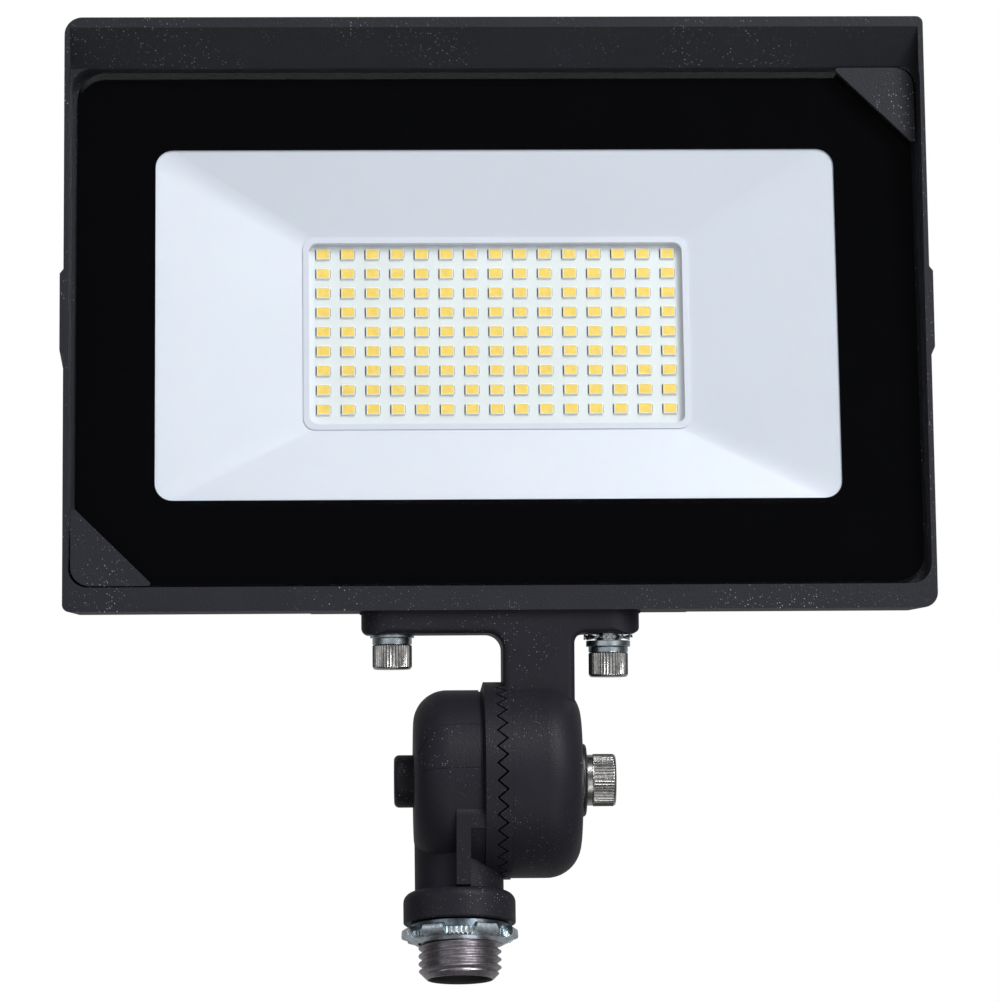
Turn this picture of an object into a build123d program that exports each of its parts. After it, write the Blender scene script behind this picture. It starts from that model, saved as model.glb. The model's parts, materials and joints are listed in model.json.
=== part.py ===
from build123d import *
import os
from math import cos, pi, radians, sin, tan

# LED flood light on a toothed knuckle, millimetres.
# The origin is the centre of the knuckle's lower face, on the axis of the conduit nipple.
# +Z points up the nipple, the light shines towards -Y, and +X is the viewer's right.
# Three frames are used. BASE is the frame above. PIVOT has its origin on the tilt axis, and its
# Z runs up the leaning arm. HEAD has its origin at the bottom front edge of the housing's rim,
# in the middle of the housing, with X to the right, Y into the housing and Z up the lens.

# Fits
press_gap = 0.01         # radial gap of a piece that is pressed in or screwed home
run_gap = 0.05           # gap of a piece that turns or slides against another
lay_gap = 0.05           # gap between flat pieces that lie on each other
thread_gap = 0.1         # radial gap of a screw in its thread
screw_play = 0.3         # radial gap of a screw in a clearance hole
past = 1.0               # how far a cut or a joined root reaches past the face it meets

# Conduit nipple, collar and neck
nipple_r = 10.45         # crest radius of the half inch conduit thread
wireway_r = 7.5          # bore for the supply leads
thread_length = 14.1     # thread below the collar
nipple_seat = 7.0        # length held inside the collar
nipple_chamfer = 1.2
relief_top = 4.1         # thread relief, measured down from the collar
relief_width = 0.8
relief_depth = 0.4
neck_bore_r = 7.0
collar_r = 14.15
collar_height = 7.9
collar_round = 2.6
collar_edge_round = 0.4
neck_r = 11.2

# Locknut
locknut_thick = 3.8
locknut_plate = 1.7
locknut_wall = 2.45
locknut_tab_reach = 1.85
locknut_tabs = 8
locknut_tab_width = 6.6
locknut_tab_drop = 0.6   # top of the ring down to the top of the tabs
locknut_drop = 0.1       # gap under the collar

# Knuckle, lower half
pivot_z = 36.5
tooth_x = 10.65          # middle plane of the teeth
tooth_count = 36
tooth_height = 2.5
tooth_outer_r = 25.0
tooth_cut_past = 0.2     # how far the grooves between the teeth run out past the ring
tooth_flank_gap = 0.35   # each flank stands back this far, measured along the axis
crest_gap = 0.3          # gap between the blunt crests of the two halves
drum_r = 23.0
drum_round = 8.5
drum_wall = 5.0
drum_left = -neck_r - 0.1
ring_left = 6.4
ring_bevel = 0.7         # how far the ring's left side leans
ring_groove_width = 0.5  # groove between drum and ring
ring_groove_depth = 0.4
boss_r = 6.65            # closed boss that holds the end of the pivot bolt
boss_reach = 4.9         # how far the boss stands out of the drum
boss_round = 1.3
boss_inner_r = 7.2
boss_inner_reach = 3.8
rib_left = -1.0
rib_right = 2.6
rib_rise = 0.8           # how far the front rib stands out of the drum at its top
rib_top = 27.6
rib_top_round = 3.0
web_bottom = 21.1        # lower edge of the web between rib and ring
floor_drop = 0.8         # the floor under the web lies this much under the ring's surface
cavity_r = 14.2          # hollow for the leads around the pivot bolt
neck_top = 24.0

# O-ring between the knuckle halves
o_ring_land = 1.9        # wall on each side of the middle of the O-ring
o_ring_section = 1.5
o_ring_proud = 0.2
o_ring_side_gap = 0.05

# Knuckle, upper half
lean = 10.0              # one tooth, in degrees, from upright towards the viewer
disk_right = 31.0
disk_round = 8.8
disk_set_back = 0.35     # step from the toothed ring down to the disk
disk_wall = 5.5
line_x = 13.0            # step between ring and disk
arm_left = 11.24
arm_right_inset = 1.6    # step from the end of the disk to the arm's right side
arm_depth = 18.0
arm_reach = 37.1         # pivot to the underside of the flange
arm_edge_round = 1.7
flange_end = 7.8         # middle of a screw to the end of the flange
flange_thick = 5.2
flange_corner = 7.8
flange_edge_round = 1.8
arm_fillet_left = 4.0
arm_fillet_right = 2.6
lead_slot = 10.0

# Pivot bolt and its washer
bolt_r = 4.0
bolt_collar_r = 6.45
bolt_head_r = 6.63
bolt_collar_height = 1.5
bolt_head_height = 5.9
bolt_socket_across = 6.0
bolt_socket_depth = 4.0
bolt_head_round = 0.7
bolt_tip_round = 0.8
bolt_end_gap = 1.0       # from the bolt's tip to the end of its blind hole
boss_end_wall = 1.7
washer_r = 9.25
washer_thick = 1.35
washer_round = 0.9

# Flange gasket and M6 screws
gasket_thick = 0.6
gasket_overhang = 0.4
m6_r = 3.0
m6_spacing = 54.8
m6_length = 16.0
m6_head_r = 5.0
m6_head_height = 6.2
m6_socket_across = 5.0
m6_socket_depth = 3.2
m6_head_round = 0.6
m6_seat_round = 0.3
m6_hole_depth = 10.0
plain_washer_r = 5.6
spring_washer_r = 5.0
star_washer_r = 6.2
washer_hole_r = 3.2
left_plain_thick = 0.8
left_spring_thick = 1.8
star_thick = 1.8
right_plain_thick = 1.5
right_spring_thick = 1.5
spring_split = 0.8
star_teeth = 12
star_tooth_length = 1.3
star_notch_width = 1.4

# Head placed on the flange
rim_edge_ahead = 10.71   # pivot plane to the rim's bottom front edge, along the flange
wall_slope = 10.0        # slope of the housing's bottom wall, in degrees
head_x = 10.9

# Housing
rim_width = 220.7
rim_height = 154.2
rim_lean = 3.1           # the rim's front leans towards the viewer at the top, in degrees
side_draft = 6.0
top_draft = 10.0
corner_top_left = 4.6
corner_top_right = 1.8
corner_bottom_right = 3.9
corner_bottom_left = 1.9
visor_edge = 2.7         # flat rim face above the visor
visor_slope = 45.7       # slope of the visor's underside, in degrees
rim_side = 1.75          # rim beside the lens pocket, at the lens
rim_bottom = 6.2         # rim below the lens pocket
rim_top = 11.1           # rim's top down to the top of the lens pocket
pocket_round = 5.0
pocket_flare = 0.4       # each side opens this much towards the front
ledge_side = 8.1         # ledge that carries the lens gasket
ledge_bottom = 10.3
ledge_top = 9.6
chamber_round = 6.0
plate_thick = 4.0
bar_deep = 3.3           # how far the bar that the flange is screwed to stands behind the plate
bar_end = 20.6           # middle of a flange screw to the end of the bar
bar_gap = 4.0            # top of the bar to the driver box
pad_height = 19.8
pad_bottom = 67.2
pad_proud = 0.95
pad_chamfer = 1.2
pad_hole_r = 4.0
pad_hole_depth = 8.0
pad_hole_y = 11.5        # behind the lens gasket's ledge
fin_count = 25
fin_thick = 2.0
fin_margin = 9.0         # outermost fin's centre from the side of the housing
fin_depth = 13.0
fin_end_gap = 8.0
fin_end_slope = 35.0
driver_half_width = 62.0
driver_drop = 10.5       # grommet down to the lower end of the driver box
driver_top_margin = 24.2 # rim's top down to the top of the driver box
driver_wall = 3.0
driver_depth = 21.3
driver_round = 6.0
cover_boss_r = 4.2
lead_hole_r = 4.5

# Lens and corner covers
glass_side_gap = 1.3
glass_bottom_gap = 0.8
glass_top_gap = 1.0
glass_round = 7.2
glass_front = 0.6
glass_thick = 4.0
cut_edge_round = 0.5     # rounding at the ends of a cut corner
border_thick = 0.15
border_side = 20.0
border_bottom = 22.4
border_top = 20.0
window_round = 4.5
lens_gasket_thick = 0.85
lens_gasket_inset = 0.3  # from the edge of the glass
lens_gasket_land = 1.0   # from the edge of the ledge
lens_gasket_round = 4.0
cover_plate_thick = 1.2
cover_leg = 20.9
cover_tip_round = 0.6
cover_gap = 0.3
cover_post_leg = 6.0
cover_post_gap = 1.9     # between the post and the cut corner of the glass

# Reflector
reflector_flange_margin = 1.0
reflector_flange_round = 5.0
reflector_wall = 1.2
reflector_gap = 0.25     # between the glass's print and the mouth of the funnel
flange_set_back = 1.05   # from the mouth of the funnel back to the reflector's flange
funnel_depth = 5.7
lip_side_gap = 1.935     # outermost LED to the lip
lip_bottom_gap = 2.94
lip_top_gap = 1.02
lip_width = 1.5
lip_round = 3.0
lip_depth = 2.1          # from the floor of the funnel back to the LED board
lip_rise = 0.35          # how far the lip stands out of the funnel's floor
post_r = 3.6
post_inset = 6.0

# LED board
board_thick = 1.6
board_side_margin = 10.4 # lip to the edge of the board
board_bottom_margin = 7.24
board_top_margin = 9.3
board_round = 1.0
led_columns = 15
led_rows = 9
led_pitch_x = 6.345
led_pitch_z = 5.163
led_centre_z = 75.73
led_width = 3.5
led_height = 2.8
led_thick = 0.7
board_screw_inset = 4.6
pad_thick = 0.3

# Small machine screws
m3_r = 1.5
m3_head_r = 2.75
m3_head_height = 1.2
m3_bite = 3.0            # thread in the metal
m3_drive = 0.7
m4_r = 2.0
m4_head_r = 3.5
m4_head_height = 2.2
m4_bite = 8.0
m4_end_gap = 1.0

# Driver
grommet_hole_r = 4.0
grommet_bore_r = 2.2
grommet_lip_r = 5.4
grommet_lip_thick = 1.2
grommet_drop = 7.5       # lower edge of the LED board to the middle of the grommet
lead_start = 2.0         # where the leads are soldered, above the board's lower edge
lead_r = 0.7
lead_spacing = 2.0
lead_bend_r = 3.0
driver_board_side_gap = 14.0
driver_board_bottom_gap = 22.0
driver_board_top_gap = 10.0
driver_board_thick = 1.6
standoff_height = 4.0
standoff_r = 3.4
driver_hole_inset = 4.5
terminal_width = 12.0
terminal_depth = 8.0
terminal_height = 8.0
transformer_width = 26.0
transformer_tall = 24.0
transformer_deep = 13.5
transformer_round = 1.5
capacitor_r = 5.0
capacitor_long = 13.0
capacitor_chamfer = 0.6
chip_long = 16.0
chip_tall = 9.0
chip_thick = 4.0
chip_gap = 1.0

# Rear cover
cover_thick = 3.0
cover_gasket_thick = 0.8
cover_pan = 1.2          # raised middle of the cover
cover_pan_inset = 12.0
vent_r = 7.0
vent_thread_r = 5.0
vent_height = 4.5
vent_slots = 6
vent_slot_deep = 1.5
vent_slot_width = 2.0
vent_slot_margin = 1.2
vent_stem_reach = 2.0    # how far the vent's thread reaches inside the cover
vent_x = 34.0
vent_rise = 20.0         # lower end of the driver box to the middle of the vent
cover_root = 1.0         # how deep the raised middle is joined into the cover

# Worked out from the sizes above
locknut_ring_r = nipple_r + locknut_wall
locknut_tab_r = locknut_ring_r + locknut_tab_reach
o_ring_r = cavity_r + o_ring_land
tooth_inner_r = o_ring_r + o_ring_land
tooth_pitch = 360 / tooth_count
arm_right = disk_right - arm_right_inset
flange_width = m6_spacing + 2 * flange_end
wall_reach = arm_reach + flange_thick + gasket_thick

pocket_half_width = rim_width / 2 - rim_side
pocket_bottom = rim_bottom
pocket_top = rim_height - rim_top
chamber_half_width = pocket_half_width - ledge_side
chamber_bottom = pocket_bottom + ledge_bottom
chamber_top = pocket_top - ledge_top
glass_half_width = pocket_half_width - glass_side_gap
glass_bottom = pocket_bottom + glass_bottom_gap
glass_top = pocket_top - glass_top_gap
glass_back = glass_front + glass_thick
glass_corner_cut = (cover_post_leg + 2**0.5 * cover_post_gap + 2 * cover_gap
                    - glass_side_gap - glass_top_gap)
border_back = glass_back + border_thick
ledge_y = border_back + lens_gasket_thick
window_half_width = glass_half_width - border_side
window_bottom = glass_bottom + border_bottom
window_top = glass_top - border_top

reflector_front = border_back + reflector_gap
lip_front = reflector_front + funnel_depth
board_front = lip_front + lip_depth
led_reach_x = (led_columns - 1) / 2 * led_pitch_x + led_width / 2
led_reach_z = (led_rows - 1) / 2 * led_pitch_z + led_height / 2
lip_half_width = led_reach_x + lip_side_gap + lip_width
lip_bottom = led_centre_z - led_reach_z - lip_bottom_gap - lip_width
lip_top = led_centre_z + led_reach_z + lip_top_gap + lip_width
board_half_width = lip_half_width + board_side_margin
board_bottom = lip_bottom - board_bottom_margin
board_top = lip_top + board_top_margin
board_back = board_front + board_thick
plate_front = board_back + pad_thick
plate_back = plate_front + plate_thick
lip_back = board_front - lay_gap
flange_front = reflector_front + flange_set_back
flange_back = flange_front + reflector_wall
driver_board_front = plate_back + standoff_height
driver_board_back = driver_board_front + driver_board_thick
driver_back = plate_back + driver_depth
grommet_z = board_bottom - grommet_drop
driver_bottom = grommet_z - driver_drop
driver_top = rim_height - driver_top_margin
driver_board_half_width = driver_half_width - driver_board_side_gap
driver_board_bottom = driver_bottom + driver_board_bottom_gap
driver_board_top = driver_top - driver_board_top_gap
vent_z = driver_bottom + vent_rise
bar_top = driver_bottom - bar_gap
bar_back = plate_back + bar_deep
bar_half_width = m6_spacing / 2 + bar_end
cover_front = driver_back + cover_gasket_thick
cover_back = cover_front + cover_thick
arm_middle = (arm_left + arm_right) / 2
lead_hole_x = arm_middle - head_x
boss_left = drum_left - boss_reach
bolt_tip = boss_left + boss_end_wall + bolt_end_gap
boss_inner_end = drum_left + drum_wall + boss_inner_reach
washer_left = disk_right + run_gap
bolt_seat = washer_left + washer_thick + run_gap

PIVOT = Pos(0, 0, pivot_z) * Rot(lean, 0, 0)
HEAD = PIVOT * Pos(head_x, -rim_edge_ahead, wall_reach) * Rot(-wall_slope, 0, 0)


# Shared shapes

def rounded(points, radii):
    """Face inside straight lines whose corners have the given radii."""
    return make_face(FilletPolyline(*points, radius=radii, close=True))


def block(x0, x1, y0, y1, z0, z1):
    """Box between two corners."""
    middle = Pos((x0 + x1) / 2, (y0 + y1) / 2, (z0 + z1) / 2)
    return middle * Box(x1 - x0, y1 - y0, z1 - z0)


def rod_x(radius, x0, x1):
    """Cylinder along X, on the X axis."""
    return Pos((x0 + x1) / 2, 0, 0) * Rot(0, 90, 0) * Cylinder(radius, x1 - x0)


def rod_y(radius, x, z, y0, y1):
    """Cylinder along Y."""
    return Pos(x, (y0 + y1) / 2, z) * Rot(90, 0, 0) * Cylinder(radius, y1 - y0)


def rod_z(radius, z0, z1):
    """Cylinder along Z, on the Z axis."""
    return Pos(0, 0, (z0 + z1) / 2) * Cylinder(radius, z1 - z0)


def turned_x(points, radii):
    """Solid turned about X from an outline of lengths and radii."""
    return revolve(rounded(points, radii), Axis.X)


def turned_z(points, radii):
    """Solid turned about Z from an outline of radii and heights."""
    return revolve(Plane.XZ * rounded(points, radii), Axis.Z)


def front_prism(face, y0, y1):
    """Prism of a face drawn in X and Z, from y0 back to y1."""
    return extrude(Plane.XZ.offset(-y0) * face, -(y1 - y0))


def side_prism(face, x0, x1):
    """Prism of a face drawn in Y and Z, from x0 to x1."""
    return extrude(Plane.YZ.offset(x0) * face, x1 - x0)


def front_rectangle(half_width, z0, z1, corner):
    """Rectangle in X and Z, centred on X = 0, with rounded corners."""
    return Pos(0, (z0 + z1) / 2) * RectangleRounded(2 * half_width, z1 - z0, corner)


def hexagon(across):
    """Hexagon by its width across the flats."""
    return RegularPolygon(across / 2, 6, major_radius=False)


# Knuckle

def tooth_gaps(side):
    """V grooves between the teeth of one half, about the X axis.

    The flanks get smaller towards the axis, as those of face teeth do. side is 1 for the teeth
    that point to +X and -1 for the others, which stand half a pitch on.
    """
    half_pitch = pi * tooth_outer_r / tooth_count
    root = -side * tooth_height / 2
    top = side * tooth_height / 2
    middle_x = tooth_x - side * tooth_flank_gap

    def section(radius):
        k = radius / tooth_outer_r
        points = [(root * k, 0), (top * k, half_pitch * k), (top * k, -half_pitch * k)]
        return Pos(middle_x, 0, radius) * make_face(Polyline(*points, close=True))

    groove = loft([section(tooth_inner_r), section(tooth_outer_r + tooth_cut_past)])
    phase = 0 if side > 0 else tooth_pitch / 2
    return [Rot(phase + n * tooth_pitch, 0, 0) * groove for n in range(tooth_count)]


def knuckle_lower():
    """Lower half: collar, neck, drum, toothed ring, rib and the blind boss of the pivot bolt."""
    face_x = tooth_x - crest_gap / 2
    groove_right = ring_left - ring_bevel
    groove_left = groove_right - ring_groove_width
    ring_foot_r = drum_r - ring_groove_depth
    drum = turned_x(
        [(drum_left, 0), (drum_left, drum_r), (groove_left, drum_r), (groove_left, ring_foot_r),
         (groove_right, ring_foot_r), (ring_left, tooth_outer_r), (face_x, tooth_outer_r),
         (face_x, 0)],
        [0, drum_round, 0, 0, 0, 0, 0, 0])
    boss = turned_x(
        [(boss_left, 0), (boss_left, boss_r), (drum_left + drum_wall, boss_r),
         (drum_left + drum_wall, 0)],
        [0, boss_round, 0, 0])
    floor = rod_x(tooth_outer_r - floor_drop, rib_right - past, ring_left)
    floor &= block(rib_left, ring_left, -tooth_outer_r, 0, -tooth_outer_r, web_bottom - pivot_z)
    body = Pos(0, 0, pivot_z) * (drum + boss + floor)

    stem = turned_z(
        [(0, 0), (collar_r, 0), (collar_r, collar_height), (neck_r, collar_height),
         (neck_r, neck_top), (0, neck_top)],
        [0, collar_edge_round, collar_round, 0, 0, 0])
    stem -= block(face_x, 2 * neck_r, -neck_r, neck_r, pivot_z - tooth_outer_r - crest_gap, neck_top)
    top_y = (drum_r**2 - (rib_top - pivot_z)**2)**0.5
    rib_corners = [(-top_y - rib_rise, rib_top), (-collar_r + collar_edge_round, collar_height),
                   (0, collar_height), (0, rib_top)]
    rib_side = rounded(rib_corners, [rib_top_round, 0, 0, 0])
    rib = side_prism(rib_side, rib_left, rib_right)
    web = side_prism(rib_side, rib_left, ring_left)
    web &= block(rib_left, ring_left, -2 * drum_r, 0, web_bottom, rib_top)
    body = body + stem + rib + web

    cavity = rod_x(cavity_r, drum_left + drum_wall, tooth_x + past)
    cavity -= rod_x(boss_inner_r, drum_left, boss_inner_end)
    hole = rod_x(bolt_r + thread_gap, boss_left + boss_end_wall, tooth_x)
    groove_r = o_ring_section / 2 + o_ring_side_gap
    groove = rod_x(o_ring_r + groove_r, face_x - o_ring_section + o_ring_proud, tooth_x)
    groove -= rod_x(o_ring_r - groove_r, face_x - 2 * o_ring_section, tooth_x)
    body -= Pos(0, 0, pivot_z) * (cavity + hole + groove)
    body -= [Pos(0, 0, pivot_z) * gap for gap in tooth_gaps(1)]
    body -= rod_z(neck_bore_r, -past, pivot_z - cavity_r + drum_wall)
    body -= rod_z(nipple_r + press_gap, -past, nipple_seat)
    return body


def conduit_nipple():
    """Threaded nipple, drawn at its crest diameter, that also mounts the light."""
    outline = [(wireway_r, -thread_length), (nipple_r - nipple_chamfer, -thread_length),
               (nipple_r, -thread_length + nipple_chamfer), (nipple_r, nipple_seat),
               (wireway_r, nipple_seat)]
    relief = rod_z(collar_r, -relief_top - relief_width, -relief_top)
    relief -= rod_z(nipple_r - relief_depth, -thread_length, 0)
    return turned_z(outline, [0, 0, 0, 0, 0]) - relief


def knuckle_o_ring():
    """O-ring that seals the wireway between the two halves."""
    centre_x = tooth_x - crest_gap / 2 + o_ring_proud - o_ring_section / 2
    section = Pos(centre_x, o_ring_r) * Circle(o_ring_section / 2)
    return Pos(0, 0, pivot_z) * revolve(section, Axis.X)


def locknut():
    """Pressed conduit locknut: a ring with bent tabs."""
    top = -locknut_drop
    low = top - locknut_thick
    ring = rod_z(locknut_ring_r, low, top)
    tab_top = top - locknut_tab_drop
    tab = block(0, locknut_tab_r + past, -locknut_tab_width / 2, locknut_tab_width / 2,
                tab_top - locknut_plate, tab_top)
    tabs = [Rot(0, 0, (n + 0.5) * 360 / locknut_tabs) * tab for n in range(locknut_tabs)]
    trimmed = [rod_z(locknut_tab_r, low, top) & piece for piece in tabs]
    return ring + trimmed - rod_z(nipple_r + run_gap, low - past, top + past)


def knuckle_upper():
    """Upper half: toothed ring, disk, arm and the flange under the housing."""
    face_x = tooth_x + crest_gap / 2
    disk_r = tooth_outer_r - disk_set_back
    disk = turned_x(
        [(face_x, 0), (face_x, tooth_outer_r), (line_x, tooth_outer_r), (line_x, disk_r),
         (disk_right, disk_r), (disk_right, 0)],
        [0, 0, 0, 0, disk_round, 0])
    left = head_x - flange_width / 2
    right = head_x + flange_width / 2
    top = arm_reach + flange_thick
    outline = [(left, top), (right, top), (right, arm_reach), (arm_right, arm_reach),
               (arm_right, 0), (arm_left, 0), (arm_left, arm_reach), (left, arm_reach)]
    radii = [0, 0, flange_edge_round, arm_fillet_right, 0, 0, arm_fillet_left, flange_edge_round]
    bracket = front_prism(rounded(outline, radii), -arm_depth / 2, arm_depth / 2)
    upright = (bracket.edges().filter_by(Axis.Z)
               .filter_by_position(Axis.X, arm_left - past, arm_right + past))
    bracket = fillet(upright, arm_edge_round)
    plan = Pos(head_x, 0) * RectangleRounded(flange_width, arm_depth, flange_corner)
    bracket &= extrude(plan, top)
    body = disk + bracket

    cavity = rod_x(cavity_r, tooth_x - past, disk_right - disk_wall)
    hole = rod_x(bolt_r + screw_play, tooth_x, disk_right + past)
    half = lead_slot / 2
    slot = block(arm_middle - half, arm_middle + half, -half, half, 0, top + past)
    body -= cavity + hole + slot
    body -= tooth_gaps(-1)
    for x in screw_places():
        body -= Pos(x, 0, 0) * rod_z(m6_r + screw_play, arm_reach - past, top + past)
    return PIVOT * body


def screw_places():
    """X of the left and right M6 screw."""
    return [head_x - m6_spacing / 2, head_x + m6_spacing / 2]


def flange_gasket():
    """Flat gasket between flange and housing."""
    width = flange_width + 2 * gasket_overhang
    depth = arm_depth + 2 * gasket_overhang
    sheet = Pos(head_x, 0) * RectangleRounded(width, depth, flange_corner + gasket_overhang)
    bottom = arm_reach + flange_thick
    top = bottom + gasket_thick
    gasket = Pos(0, 0, bottom) * extrude(sheet, gasket_thick)
    half = lead_slot / 2
    gasket -= block(arm_middle - half, arm_middle + half, -half, half, bottom - past, top + past)
    for x in screw_places():
        gasket -= Pos(x, 0, 0) * rod_z(m6_r + screw_play, bottom - past, top + past)
    return PIVOT * gasket


def socket_screw(shank_r, length, head_r, head_height, across, depth):
    """Socket head screw that points up Z, with the underside of its head at Z = 0."""
    head = turned_z([(0, -head_height), (head_r, -head_height), (head_r, 0), (0, 0)],
                    [0, m6_head_round, m6_seat_round, 0])
    screw = head + rod_z(shank_r, -past / 2, length)
    socket = Pos(0, 0, -head_height - past) * extrude(hexagon(across), depth + past)
    return screw - socket


def left_stack():
    """Thickness of the washers on the left screw."""
    return left_plain_thick + left_spring_thick


def right_stack():
    """Thickness of the washers on the right screw."""
    return star_thick + right_plain_thick + right_spring_thick


def flange_screws():
    """Two M6 socket screws that hold the flange to the housing."""
    screw = socket_screw(m6_r, m6_length, m6_head_r, m6_head_height, m6_socket_across,
                         m6_socket_depth)
    left, right = screw_places()
    return [PIVOT * Pos(left, 0, arm_reach - left_stack()) * screw,
            PIVOT * Pos(right, 0, arm_reach - right_stack()) * screw]


def flat_washer(radius, thick):
    """Plain washer that hangs down from Z = 0."""
    return rod_z(radius, -thick, 0) - rod_z(washer_hole_r, -thick - past, past)


def spring_washer(thick):
    """Split washer that hangs down from Z = 0."""
    ring = flat_washer(spring_washer_r, thick)
    gap = Rot(0, 30, 0) * block(-spring_split / 2, spring_split / 2, -2 * spring_washer_r, 0,
                                -4 * thick, 4 * thick)
    return ring - gap


def flange_flat_washers():
    """Plain washer of each stack."""
    left, right = screw_places()
    return [PIVOT * Pos(left, 0, arm_reach) * flat_washer(plain_washer_r, left_plain_thick),
            PIVOT * Pos(right, 0, arm_reach - star_thick)
            * flat_washer(plain_washer_r, right_plain_thick)]


def flange_spring_washers():
    """Split washer of each stack."""
    left, right = screw_places()
    right_top = arm_reach - star_thick - right_plain_thick
    return [PIVOT * Pos(left, 0, arm_reach - left_plain_thick) * spring_washer(left_spring_thick),
            PIVOT * Pos(right, 0, right_top) * spring_washer(right_spring_thick)]


def flange_star_washer():
    """Toothed washer of the right stack, which bites through the coat for the ground path."""
    washer = flat_washer(star_washer_r, star_thick)
    notch = block(star_washer_r - star_tooth_length, star_washer_r + past,
                  -star_notch_width / 2, star_notch_width / 2, -star_thick - past, past)
    washer -= [Rot(0, 0, n * 360 / star_teeth) * notch for n in range(star_teeth)]
    return PIVOT * Pos(screw_places()[1], 0, arm_reach) * washer


def pivot_washer():
    """Rounded black washer under the head of the pivot bolt."""
    outline = [(washer_left, bolt_r + screw_play), (washer_left, washer_r),
               (washer_left + washer_thick, washer_r),
               (washer_left + washer_thick, bolt_r + screw_play)]
    return Pos(0, 0, pivot_z) * turned_x(outline, [0, 0, washer_round, 0])


def pivot_bolt():
    """M8 socket screw that is the tilt axle and clamps the teeth together."""
    collar_end = bolt_seat + bolt_collar_height
    head_end = collar_end + bolt_head_height
    bolt = turned_x(
        [(bolt_tip, 0), (bolt_tip, bolt_r), (bolt_seat, bolt_r), (bolt_seat, bolt_collar_r),
         (collar_end, bolt_collar_r), (collar_end, bolt_head_r), (head_end, bolt_head_r),
         (head_end, 0)],
        [0, bolt_tip_round, 0, 0, 0, 0, bolt_head_round, 0])
    socket = Pos(head_end - bolt_socket_depth, 0, 0) * Rot(0, 90, 0)
    bolt -= socket * extrude(hexagon(bolt_socket_across), bolt_socket_depth + past)
    return Pos(0, 0, pivot_z) * bolt


# Housing

def corner_cut_face(half_width, z0, z1, corner, cut):
    """Rounded rectangle whose upper right and lower left corners are cut off at 45 degrees."""
    middle = (z0 + z1) / 2
    half_height = (z1 - z0) / 2
    points = [(-half_width, half_height), (half_width - cut, half_height),
              (half_width, half_height - cut), (half_width, -half_height),
              (-half_width + cut, -half_height), (-half_width, -half_height + cut)]
    small = cut_edge_round
    face = rounded(points, [corner, small, small, corner, small, small])
    return Pos(0, middle) * face


def rim_plane():
    """Plane of the rim's leaning front, with X to the right and Y up the slope."""
    lean_angle = radians(rim_lean)
    return Plane((0, 0, 0), x_dir=(1, 0, 0), z_dir=(0, -cos(lean_angle), -sin(lean_angle)))


def housing_outline(depth):
    """Outline of the housing, parallel to the rim's front and this deep behind it."""
    half = rim_width / 2 - depth * tan(radians(side_draft))
    low = depth * tan(radians(wall_slope - rim_lean))
    high = rim_height / cos(radians(rim_lean)) - depth * tan(radians(top_draft + rim_lean))
    corners = [(-half, low), (-half, high), (half, high), (half, low)]
    radii = [corner_bottom_left, corner_top_left, corner_top_right, corner_bottom_right]
    return rim_plane().offset(-depth) * rounded(corners, radii)


def behind(y):
    """Everything behind a depth in the housing."""
    return block(-rim_width, rim_width, y, y + rim_height, -rim_height, 2 * rim_height)


def roof_at_plate():
    """Height of the top wall where the base plate ends."""
    forward = rim_height * tan(radians(rim_lean))
    return rim_height - (forward + plate_back) * tan(radians(top_draft))


def housing_shell():
    """Rim and tapered walls as one solid block, cut off flat behind the base plate."""
    full_depth = plate_back + rim_height * tan(radians(rim_lean)) + cover_thick
    return loft([housing_outline(0), housing_outline(full_depth)]) - behind(plate_back)


def lens_pocket():
    """Room for the lens, open to the front, with the sloped underside of the visor."""
    front_y = -2 * rim_height * tan(radians(rim_lean))
    flare = pocket_flare * (ledge_y - front_y) / (rim_height * tan(radians(rim_lean)))
    seat = front_rectangle(pocket_half_width, pocket_bottom, pocket_top, pocket_round)
    mouth = front_rectangle(pocket_half_width + flare, pocket_bottom, pocket_top, pocket_round)
    pocket = loft([Plane.XZ.offset(-front_y) * mouth, Plane.XZ.offset(-ledge_y) * seat])
    lip_z = rim_height - visor_edge
    lip_y = -lip_z * tan(radians(rim_lean))
    foot_y = lip_y + (lip_z - pocket_top) / tan(radians(visor_slope))
    under = [(foot_y, pocket_bottom + pocket_round), (foot_y, pocket_top), (lip_y, lip_z),
             (front_y, lip_z), (front_y, pocket_bottom + pocket_round)]
    width = pocket_half_width + pocket_flare
    return pocket + side_prism(make_face(Polyline(*under, close=True)), -width, width)


def side_pad():
    """Low pad on the right side wall, flush with the rim's front, with a blind M8 hole."""
    half = rim_width / 2
    top = pad_bottom + pad_height
    points = [(chamber_half_width, pad_bottom - pad_chamfer), (half, pad_bottom - pad_chamfer),
              (half + pad_proud, pad_bottom), (half + pad_proud, top), (half, top + pad_chamfer),
              (chamber_half_width, top + pad_chamfer)]
    face = make_face(Polyline(*points, close=True))
    pad = front_prism(face, -rim_height * tan(radians(rim_lean)), plate_back)
    ahead = rim_plane() * Pos(0, 0, rim_height / 2) * Box(2 * rim_width, 3 * rim_height, rim_height)
    return pad - ahead


def pad_hole():
    """Blind hole in the right pad."""
    end = rim_width / 2 + pad_proud
    middle = Pos(0, pad_hole_y, pad_bottom + pad_height / 2)
    return middle * rod_x(pad_hole_r, end - pad_hole_depth, end + past)


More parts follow.
